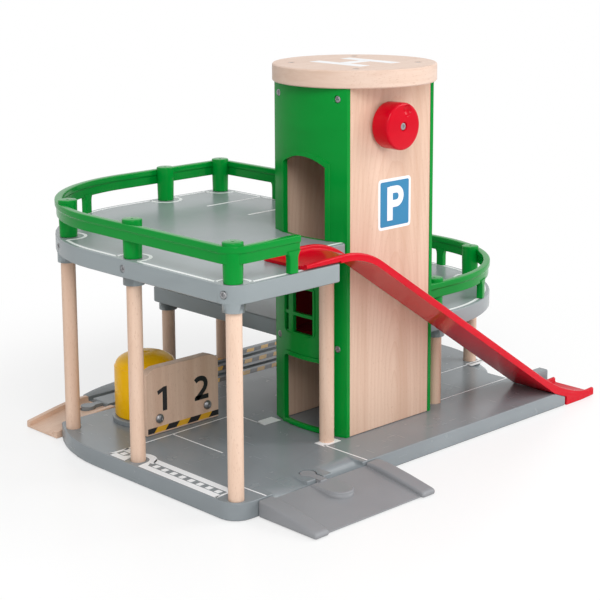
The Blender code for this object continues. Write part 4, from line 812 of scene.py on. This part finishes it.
class GARAGE_OT_railings(bpy.types.Operator):
    """Carries the railings' stepped profile round both decks"""

    bl_idname = "garage.railings"
    bl_label = "Railings"

    def execute(self, context):
        edge = context.scene.garage_sizes.rail_edge
        upper_stiles, middle_stiles = stile_places()
        jobs = (
            ("upper_railing", upper_line, UPPER_TOP, upper_stiles,
             [(46.3, -6.8, 0.0), (*on_bend(LEFT_BEND, 109.5, 2.9), 19.5), (221.1, 196.0, 90.0),
              (221.1, 130.0, 90.0)]),
            ("middle_railing", middle_line, MIDDLE_TOP, middle_stiles,
             [(*on_bend(RIGHT_BEND, -67.0, 2.9), 23.0), (*on_bend(RIGHT_BEND, 0.0, 2.9), 90.0), (379.1, 205.0, 90.0),
              (305.0, 267.1, 0.0)]),
        )
        for name, line, top, stiles, slats in jobs:
            profile = rounded([
                (1.2, top + 13.6), (4.6, top + 13.6), (4.6, top + 20.4), (5.7, top + 21.4), (5.7, top + 25.6),
                (0.1, top + 25.6), (0.1, top + 21.4), (1.2, top + 20.4),
            ], np.array((edge, edge, 0.5, 0.5, edge, edge, 0.5, 0.5)), 3)
            rail = Shape().swept(line, profile)
            for x, y in stiles:
                stile(rail, x, y, top + STANDS)
            for x, y, turn in slats:
                foot, head = top + STANDS, top + 17.6
                levels = [(1.0, foot), (1.0, foot + 9.5), (1.12, foot + 12.0), (1.45, head - 3.2), (1.75, head - 2.0)]
                outline = rounded(rectangle(-3.7, -2.5, 3.7, 2.5), 0.9, 3)
                c, s = math.cos(math.radians(turn)), math.sin(math.radians(turn))
                rail.grid([raised((outline * (wide, 1.0)) @ ((c, s), (-s, c)) + (x, y), z) for wide, z in levels])
            rail.piece(name + "_moulding", "green", "garage", (name,), angle=40.0)
        return {"FINISHED"}


def on_shell(side, yz, proud):
    """Points (y, z) carried on to the bulged side of the tower, standing proud of it."""
    yz = np.asarray(yz, float)
    x = TOWER[0] + side * (shell_x(np.clip(yz[:, 0], TOWER_FRONT, TOWER_BACK)) + proud)
    return np.column_stack((x, yz))


def moulding(shape, side, line, width, low, high, closed=False):
    """A raised bead along a line of (y, z) on the tower's side: an outline widened both ways, whose
    rim sinks into the side and whose top is eased."""
    line = np.asarray(line, float)
    if closed:
        line = np.vstack((line, line[:1]))
    rings = []
    for out, proud in ((0.5, low), (0.5, high * 0.5), (0.3, high), (-0.3, high), (-0.5, high * 0.5), (-0.5, low)):
        rings.append(on_shell(side, offset(line, out * width), proud))
    if closed:
        shape.grid(np.stack([ring[:-1] for ring in rings], axis=1), loop=True)
    else:
        shape.grid(np.stack(rings, axis=1))


class GARAGE_OT_tower(bpy.types.Operator):
    """Finishes the tower's panels and sides, and adds the frames round its windows"""

    bl_idname = "garage.tower"
    bl_label = "Tower"

    def execute(self, context):
        for node in ("tower_front_panel", "tower_back_panel"):
            merged_copy(node, "wood_panel")
        for node, side in (("tower_left_shell", -1), ("tower_right_shell", 1)):
            bulged(merged_copy(node, "green", 28.0), side)
        frames = Shape()
        window = rounded(rectangle(60.2, 85.4, 94.6, 124.6), 5.0, 6)
        moulding(frames, -1, window, 1.5, -0.5, 0.7, closed=True)
        sill = [(y, BASE_TOP + 2.0) for y in np.linspace(49.0, 94.5, 17)]
        moulding(frames, -1, sill, 3.4, -2.4, 1.2)
        frames.piece("tower_window_frame", "green", "garage", slot="green_plastic")
        return {"FINISHED"}


class GARAGE_OT_lid(bpy.types.Operator):
    """Finishes the wooden lid and paints the landing mark"""

    bl_idname = "garage.lid"
    bl_label = "Lid"

    def execute(self, context):
        merged_copy("tower_lid", "wood_lid", 35.0)
        low, high = LID_TOP - SUNK, LID_TOP + context.scene.garage_sizes.paint
        mark = Shape()
        for bar in ((-21.0, -26.0, -10.5, 27.0), (12.0, -26.0, 22.5, 27.0), (-11.0, -4.6, 12.5, 5.6)):
            mark.plate(rectangle(*bar) + TOWER, low, high)
        painted(mark, "landing_mark", "white", slot="beech")
        return {"FINISHED"}


def crossed_head(place, axis, way, radius, dome, thick):
    """A round screw head with a cross cut into it, facing an axis or, where the way is -1, back along
    it. On rings of radius r and angle a its height is dome (1 - (r/R)^2) less a cut whose depth falls
    to nothing where the nearer arm ends."""
    r = np.r_[np.linspace(0.0, 0.94, 16), 1.0, 1.0, 0.0][:, None] * radius
    a = np.linspace(0, 2 * np.pi, 48, endpoint=False)[None, :]
    u, v = r * np.cos(a), r * np.sin(a)
    near, far = np.minimum(abs(u), abs(v)), np.maximum(abs(u), abs(v))
    side_cut = np.clip((0.17 * radius - near) / (0.06 * radius), 0, 1)
    end_cut = np.clip((0.66 * radius - far) / (0.1 * radius), 0, 1)
    height = dome * (1 - (r / radius) ** 2) - 0.8 * side_cut * end_cut
    height[-3], height[-2:] = -0.15, -thick
    e1, e2 = np.delete(np.eye(3), axis, axis=0)
    e3 = np.eye(3)[axis] * way
    skin = place + u[..., None] * e1 + v[..., None] * e2 + height[..., None] * e3
    return Shape().grid(skin, caps=False)


class GARAGE_OT_screws(bpy.types.Operator):
    """Cuts the crosses of the screws and domes the bolts"""

    bl_idname = "garage.screws"
    bl_label = "Screws and bolts"

    def execute(self, context):
        # the axis that each kind faces, and which way along it
        ways = {"lid_screw": (2, 1.0), "shell_screw_left": (0, -1.0), "shell_screw_right": (0, 1.0),
                "deck_screw": (0, -1.0), "knob_screw": (1, -1.0)}
        for node in frame["nodes"]:
            axis, way = next((facing for start, facing in ways.items() if node.startswith(start)), (None, None))
            if axis is None:
                continue
            middle, half = middle_of(node)
            face = middle.copy()
            face[axis] += half[axis] * way
            body = "crank" if node == "knob_screw" else "garage"
            radius = float(np.delete(half, axis).max())
            head = crossed_head(face, axis, way, radius, dome=0.06 * radius, thick=2 * half[axis] - 0.05)
            head.piece(node + "_head", "steel", body, (node,), angle=50.0)
        for node in ("bay_bolt_1", "bay_bolt_2"):
            middle, half = middle_of(node)
            front, radius, rise = middle[1] - half[1], half[0], 2 * half[1]
            socket = [(0.0, 1.3), (0.9, 1.3), (1.15, 0.55), (1.4, 0.25)]
            dome = [(radius * math.sin(a), rise * 0.82 * (1 - math.cos(a)) + 0.1)
                    for a in np.radians((35, 50, 65, 80, 90))]
            profile = [*socket, *dome, (radius, rise), (0.0, rise)]
            bolt = Shape().turned((middle[0], front, middle[2]), profile, "Y", 40)
            bolt.piece(node + "_head", "steel", "garage", (node,), angle=50.0)
        return {"FINISHED"}


class GARAGE_OT_crank(bpy.types.Operator):
    """Shapes the red knob and finishes the shaft, the bushes and the drum with its wound cord"""

    bl_idname = "garage.crank"
    bl_label = "Crank"

    def execute(self, context):
        middle, half = middle_of("crank_knob")
        front, back, radius = middle[1] - half[1], middle[1] + half[1], half[0]
        a = np.linspace(0, 2 * np.pi, 144, endpoint=False)[None, :]
        r = np.r_[0.0, np.linspace(1.0, radius - 1.9, 44)][:, None]
        u, v = r * np.cos(a), r * np.sin(a)
        # depth of the face: a round well for the screw, a dimple for a fingertip, and a slight crown;
        # out and at, further down, are the radius and the depth of the rim, the side and the bore
        deep, bore, bore_depth = back - front, 2.8, 9.8
        screw_well = 2.2 * np.clip((3.2 - r) / 0.4, 0, 1)
        reach = np.hypot(u - 4.0, v - 11.4)
        dimple = 2.3 * np.clip(1 - (reach / 4.2) ** 2, 0, 1) ** 0.6
        swell = 0.35 * np.cos(np.clip(r / radius, 0, 1) * np.pi / 2)
        face = front + 0.35 + np.maximum(screw_well, dimple) - swell
        skin = [np.stack((CRANK[0] + u, face, CRANK[1] + v), axis=-1)]
        for out, at in (
            (radius - 1.2, 0.42), (radius - 0.6, 0.7), (radius - 0.2, 1.2), (radius, 1.9), (radius, 0.4 * deep),
            (radius, 0.7 * deep), (radius, deep - 1.6), (radius - 0.3, deep - 0.8), (radius - 1.0, deep - 0.2),
            (radius - 1.6, deep), (bore, deep), (bore, deep - bore_depth), (0.0, deep - bore_depth),
        ):
            x, z = CRANK[0] + out * np.cos(a), CRANK[1] + out * np.sin(a)
            skin.append(np.stack((x, np.full_like(a, front + at), z), axis=-1))
        knob = Shape().grid(np.vstack(skin), caps=False)
        knob.piece("crank_knob_moulding", "red", "crank", ("crank_knob",), angle=42.0)
        merged_copy("crank_shaft", "steel")
        for node in ("cord_drum", "front_bush", "back_bush"):
            merged_copy(node, "green")
        turns, tread, spread, thread = 7.0, 6.2, 10.4, 0.68
        t = np.linspace(0, 1, int(turns * 26))
        angle = 2 * np.pi * turns * t
        wound = np.column_stack((
            CRANK[0] + tread * np.cos(angle), TOWER[1] - spread / 2 + spread * t, CRANK[1] + tread * np.sin(angle),
        ))
        Shape().tube(wound, thread, 8).piece("cord_turns", "cord", "crank", slot="cord")
        return {"FINISHED"}


class GARAGE_OT_lift(bpy.types.Operator):
    """Finishes the cabin and its guides, and hangs the cord"""

    bl_idname = "garage.lift"
    bl_label = "Lift"

    def execute(self, context):
        merged_copy("lift_cabin", "dark_red")
        merged_copy("lift_guide_front", "wood_up")
        merged_copy("lift_guide_back", "wood_up")
        middle, half = middle_of("lift_cord")
        low, high = middle[2] - half[2], middle[2] + half[2]
        path = middle * (1.0, 1.0, 0.0) + np.linspace(low, high, 40)[:, None] * (0.0, 0.0, 1.0)
        cord = Shape().tube(path, half[0], 12).piece("lift_cord_braid", "cord", None, slot="cord")
        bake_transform(cord)
        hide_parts("lift_cord")
        return {"FINISHED"}


class GARAGE_OT_slide(bpy.types.Operator):
    """Carries the slide's channel from the upper deck to the table"""

    bl_idname = "garage.slide"
    bl_label = "Slide"

    def execute(self, context):
        edge = context.scene.garage_sizes.wall_edge
        (start, front, _), (tip, back, _) = corners_of("slide_ramp")
        deck, base, crest, foot, step = UPPER_TOP + STANDS, BASE_TOP + STANDS, 114.3, 336.5, 352.3
        slope = (deck - base) / (foot - crest)
        angle = math.degrees(math.atan(slope))
        steep = 1 / math.cos(math.radians(angle))
        turn = 60.0
        centre = (crest - turn * math.tan(math.radians(angle / 2)), deck - turn)

        def bend(more):
            return arc(centre, turn + more, 90.0, 90.0 - angle, 16)

        # heights of the underside, the floor and the walls' tops along the slide
        under = np.vstack((
            (start, deck), bend(0.0), (foot, base), (step - 0.01, base - 6.0), (step + 0.01, 0.0), (tip - 16.0, 0.0),
            (tip, 0.9),
        ))
        bed = np.vstack((
            (start, deck + 2.0), bend(2.0), (foot - 2.0, base + 2.0 * slope + 2.0 * steep), (step, base - 3.5),
            (foot + 26.0, 5.2), (foot + 36.0, 3.2), (foot + 45.0, 2.6), (tip, 3.0),
        ))
        walls = np.vstack((
            (start, deck + 3.6), (start + 18.0, deck + 4.9), bend(5.4),
            (foot - 12.0, base + 12.0 * slope + 5.4 * steep), (foot + 6.5, 17.4), (foot + 17.0, 13.0),
            (foot + 27.0, 9.7), (foot + 37.0, 7.3), (foot + 44.0, 6.3), (tip, 6.9),
        ))
        fine = np.arange(start, tip, 0.5)
        window = np.hanning(27) / np.hanning(27).sum()

        def eased(line):
            """A height line with its kinks worn round: each height becomes the mean of its
            neighbours within 6 mm, the nearer ones counting more."""
            height = np.interp(np.r_[np.full(13, start), fine, np.full(13, tip)], *line.T)
            height[:13], height[-13:] = height[13], height[-14]
            return np.convolve(height, window, "valid")

        x = np.unique(np.r_[np.linspace(start, 134.0, 34), np.linspace(134.0, 325.0, 24), np.linspace(325.0, tip, 30),
                            89.99, 90.01, step - 0.02, step + 0.02])
        lower = np.interp(x, *under.T)
        floor = np.maximum(np.interp(x, fine, eased(bed)), lower + 1.2)
        top = np.maximum(np.interp(x, fine, eased(walls)), floor + 0.5)
        lip = np.where(x < 90.0, 1.4, 0.0)
        thick, hollow = 3.2, 1.0
        soft = np.minimum(edge, 0.45 * (top - floor))
        rise = np.minimum(hollow, 0.5 * (top - soft - floor))
        section = [(front + 2.5, lower), (front + 2.5, lower + lip), (front, lower + lip)]
        for wall, way in ((front, 1.0), (back, -1.0)):
            # the wall's rounded top, across from its outer to its inner face, and its hollow foot
            eased_edge = [(0.0, 1.0), (0.12 * edge, 0.5), (0.5 * edge, 0.12), (edge, 0.0)]
            bow = eased_edge + [(thick - out, drop) for out, drop in eased_edge[::-1]]
            side = [(wall + way * out, top - drop * soft) for out, drop in bow]
            side += [(wall + way * thick, floor + rise), (wall + way * (thick + 0.3), floor + 0.25),
                     (wall + way * (thick + hollow), floor)]
            section += side if way > 0 else side[::-1]
        section.append((back, lower))
        rings = np.stack([np.column_stack((x, np.full_like(x, y), z)) for y, z in section], axis=1)
        slide = Shape().grid(rings)
        hook = np.array(((90.3, deck - 5.0), (93.3, deck - 4.2), (93.3, deck + 0.8), (90.3, deck + 1.0)))
        slide.plate(hook, front + 8.0, back - 16.0, edge=0.3, plane="XZ")
        slide.piece("slide_channel", "red", "slide", ("slide_ramp",), angle=38.0)
        return {"FINISHED"}


class GARAGE_OT_ramps(bpy.types.Operator):
    """Finishes the front ramp and the wooden ramp track"""

    bl_idname = "garage.ramps"
    bl_label = "Ramps"

    def execute(self, context):
        merged_copy("entry_ramp", "ramp", 40.0)
        merged_copy("ramp_track", "wood_along", 30.0)
        return {"FINISHED"}


def stroke(shape, line, width, low, high):
    """A letter's stroke: a strip along a line of (x, z), stood upright facing the front."""
    left, right = offset(line, width / 2), offset(line, -width / 2)
    ring = ((left, high), (left, low), (right, low), (right, high))
    shape.grid(np.stack([raised(side, y) for side, y in ring], axis=1)[:, :, [0, 2, 1]])


class GARAGE_OT_bays(bpy.types.Operator):
    """Finishes the bay wall with its numbers and hazard band, and the yellow tank"""

    bl_idname = "garage.bays"
    bl_label = "Bay wall and tank"

    def execute(self, context):
        # the bay wall takes the lightened copy of the beech, painted light against its shade
        merged_copy("bay_wall", "wood_wall_painted_light")
        low, high = BAY_WALL_FRONT - context.scene.garage_sizes.paint, BAY_WALL_FRONT + SUNK
        dark, light = Shape(), Shape()
        one = ((44.9, 46.4), (45.7, 43.4), (49.9, 45.3), (49.9, 30.0), (54.1, 30.0), (54.1, 48.8), (51.0, 48.8))
        two = rounded([(82.0, 45.7), (84.0, 47.2), (87.6, 47.6), (91.3, 46.2), (92.6, 42.6), (91.4, 38.8),
                       (83.4, 31.6)], 2.2, 4, closed=False)
        two_foot = ((81.2, 30.4), (94.9, 30.4), (94.9, 34.0), (82.4, 34.0), (81.2, 32.6))
        dark.plate(one, low, high, plane="XZ")
        stroke(dark, two, 3.9, low, high)
        dark.plate(two_foot, low, high, plane="XZ")
        left, right, foot, head, wide = 35.5, 104.8, 14.4, 18.6, 10.72
        for k, x in enumerate(np.arange(7) * wide + left - 5.0):
            bar = np.array(((x, foot), (x + wide, foot), (x + 14.3, head), (x + 3.6, head)))
            bar[:, 0] = np.clip(bar[:, 0], left, right)
            (light if k % 2 else dark).plate(bar, low, high, plane="XZ")
        painted(dark, "bay_numbers", "black", slot="beech")
        painted(light, "bay_hazard", "hazard", slot="beech")
        merged_copy("tank_ring", "base")
        middle, half = middle_of("tank_body")
        radius, foot, height = half[0], middle[2] - half[2], 2 * half[2]
        rise, wall = 10.2, radius - 0.8
        shoulder = height - rise
        dome = [(wall * math.sin(a), shoulder + rise * math.cos(a)) for a in np.radians(np.arange(0, 90, 6))]
        side = [(wall, shoulder + 0.5), (radius - 0.7, shoulder - 0.2), (radius, shoulder - 0.8),
                (radius, shoulder * 0.5), (radius, 1.0), (radius - 0.4, 0.2), (radius - 0.9, 0.0), (0.0, 0.0)]
        cap = [(0.0, height - 0.6), (4.2, height - 0.6), (4.2, height - 0.2), (3.8, height), (0.0, height)]
        place = (middle[0], middle[1], foot)
        tank = Shape().turned(place, [*dome, *side], steps=96).turned(place, cap, steps=40)
        tank.piece("tank_moulding", "yellow", "garage", ("tank_body",), angle=30.0)
        return {"FINISHED"}


class GARAGE_OT_signs(bpy.types.Operator):
    """Prints the parking sign on the tower's front"""

    bl_idname = "garage.signs"
    bl_label = "Parking sign"

    def execute(self, context):
        paint = context.scene.garage_sizes.paint
        left, right, low, high = 174.6, 205.6, 167.6, 201.7
        face = TOWER_FRONT
        white, blue = Shape(), Shape()
        for shape, grow, proud, bend in ((white, 2.2, paint, 3.4), (blue, 0.0, 2 * paint, 1.6)):
            outline = rounded(rectangle(left - grow, low - grow, right + grow, high + grow), bend, 5)
            shape.plate(outline, face - proud, face + SUNK, plane="XZ")
        middle = ((left + right) / 2 - 0.6, (low + high) / 2)
        bowl = np.vstack(((-5.0, 10.55), arc((2.2, 5.2), 5.35, 90, -90, 20), (-5.0, -0.15)))
        stem = np.array(((-4.6, 12.85), (-4.6, -12.6)))
        stroke(white, bowl + middle, 5.4, face - 3 * paint, face)
        stroke(white, stem + middle, 5.9, face - 3 * paint - 0.02, face)
        painted(white, "sign_white", "white", slot="beech")
        painted(blue, "sign_blue", "blue", slot="beech")
        return {"FINISHED"}


def posed(side, top, back, place):
    """The matrix of a lamp or a camera from its own X, Y and Z axis and its place."""
    matrix = np.eye(4)
    matrix[:3] = np.column_stack((side, top, back, place))
    return Matrix(matrix.tolist())


class GARAGE_OT_stage(bpy.types.Operator):
    """Sets the floor, the light and the camera"""

    bl_idname = "garage.stage"
    bl_label = "Stage"

    def execute(self, context):
        stage = context.scene.garage_stage
        white = (1.0, 1.0, 1.0, 1.0)
        mesh = bpy.data.meshes.new("floor")
        reach, drop = 6.0, 0.0005
        mesh.from_pydata(raised(rectangle(-reach, -reach, reach, reach), -drop), [], [(0, 1, 2, 3)])
        floor = linked("floor", mesh)
        pale = Finish("floor_pale", 0.35)
        pale.feed("Base Color", (0.92, 0.92, 0.92, 1.0))
        glow = pale.node("Emission", {}, {"Color": white, "Strength": 1.0})
        # the floor keeps the object's shadow near the middle and fades to the white of the background,
        # between these distances in metres
        near, far, least = 0.27, 0.5, 0.62
        away = pale.node("VectorMath", {"operation": "LENGTH"}, {0: pale.place}, 1)
        share = pale.ray("Camera") * (least + (1.0 - least) * pale.ramp(away, near, far))
        mixed = pale.node("MixShader", {}, {0: share, 1: Value(pale, pale.shader.outputs[0]), 2: glow})
        pale.give(pale.tree.nodes["Material Output"], "Surface", mixed)
        mesh.materials.append(pale.material)

        world = bpy.data.worlds.new("studio")
        context.scene.world = world
        world.use_nodes = True
        sky = Nodes(world.node_tree)
        seen = sky.ray("Camera")
        for kind in ("Glossy", "Transmission"):
            seen = seen.maths("MAXIMUM", seen, sky.ray(kind))
        even, plain = (sky.node("Background", {}, {"Color": white, "Strength": power}) for power in (stage.sky, 1.0))
        mixed = sky.node("MixShader", {}, {0: seen, 1: even, 2: plain})
        sky.give(sky.tree.nodes["World Output"], "Surface", mixed)

        aim = (0.0, 0.0, 0.1)
        for name, place, size, power in (
            ("key_lamp", (-0.75, -0.95, 1.05), 0.7, stage.key),
            ("fill_lamp", (0.95, -0.85, 0.75), 0.8, stage.fill),
        ):
            lamp = bpy.data.lights.new(name, "AREA")
            lamp.shape, lamp.size, lamp.energy = "SQUARE", size, power
            back = np.subtract(place, aim)
            back /= np.linalg.norm(back)
            side = np.cross((0.0, 0.0, 1.0), back)
            side /= np.linalg.norm(side)
            linked(name, lamp).matrix_world = posed(side, np.cross(back, side), back, place)

        camera = bpy.data.cameras.new("camera")
        camera.sensor_width, camera.lens = 36.0, stage.lens
        camera.shift_x, camera.shift_y = -0.0031, -0.1667
        camera.clip_start, camera.clip_end = 0.01, 50.0
        turn, tip, roll = (math.radians(angle) for angle in (43.802, 10.716, -0.235))
        # the camera looks turn degrees right of Y and tip degrees down, and leans by roll
        forward = np.array((math.sin(turn) * math.cos(tip), math.cos(turn) * math.cos(tip), -math.sin(tip)))
        right = np.array((math.cos(turn), -math.sin(turn), 0.0))
        up = np.cross(right, forward)
        side, top = right * math.cos(roll) + up * math.sin(roll), up * math.cos(roll) - right * math.sin(roll)
        eye = linked("camera", camera)
        eye.matrix_world = posed(side, top, -forward, placed((-654.135, -746.8, 404.375)))
        context.scene.camera = eye
        context.scene.view_settings.view_transform = "Standard"
        return {"FINISHED"}


STEPS = (
    GARAGE_OT_stage, GARAGE_OT_lift, GARAGE_OT_base, GARAGE_OT_decks, GARAGE_OT_posts, GARAGE_OT_railings,
    GARAGE_OT_tower, GARAGE_OT_lid, GARAGE_OT_crank, GARAGE_OT_slide, GARAGE_OT_ramps, GARAGE_OT_bays,
    GARAGE_OT_signs, GARAGE_OT_screws,
)


class GARAGE_PT_looks(bpy.types.Panel):
    """The garage's pieces, one button each, and the sizes and colours they use"""

    bl_idname = "GARAGE_PT_looks"
    bl_label = "Toy parking garage"
    bl_space_type = "VIEW_3D"
    bl_region_type = "UI"
    bl_category = "Garage"

    def draw(self, context):
        scene, layout = context.scene, self.layout
        for name, group in GROUPS.items():
            box = layout.box()
            for key in group.__annotations__:
                box.prop(getattr(scene, name), key)
        for step in STEPS:
            layout.operator(step.bl_idname)


GROUPS = {"garage_sizes": GarageSizes, "garage_colours": GarageColours, "garage_stage": GarageStage}
CLASSES = (*GROUPS.values(), *STEPS, GARAGE_PT_looks)


def register():
    for cls in CLASSES:
        bpy.utils.register_class(cls)
    for name, group in GROUPS.items():
        setattr(bpy.types.Scene, name, PointerProperty(type=group))


def unregister():
    for name in GROUPS:
        delattr(bpy.types.Scene, name)
    for cls in reversed(CLASSES):
        bpy.utils.unregister_class(cls)


def main():
    """Registers the add-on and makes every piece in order."""
    register()
    for step in STEPS:
        group, name = step.bl_idname.split(".")
        getattr(getattr(bpy.ops, group), name)()


if __name__ == "__main__":
    main()
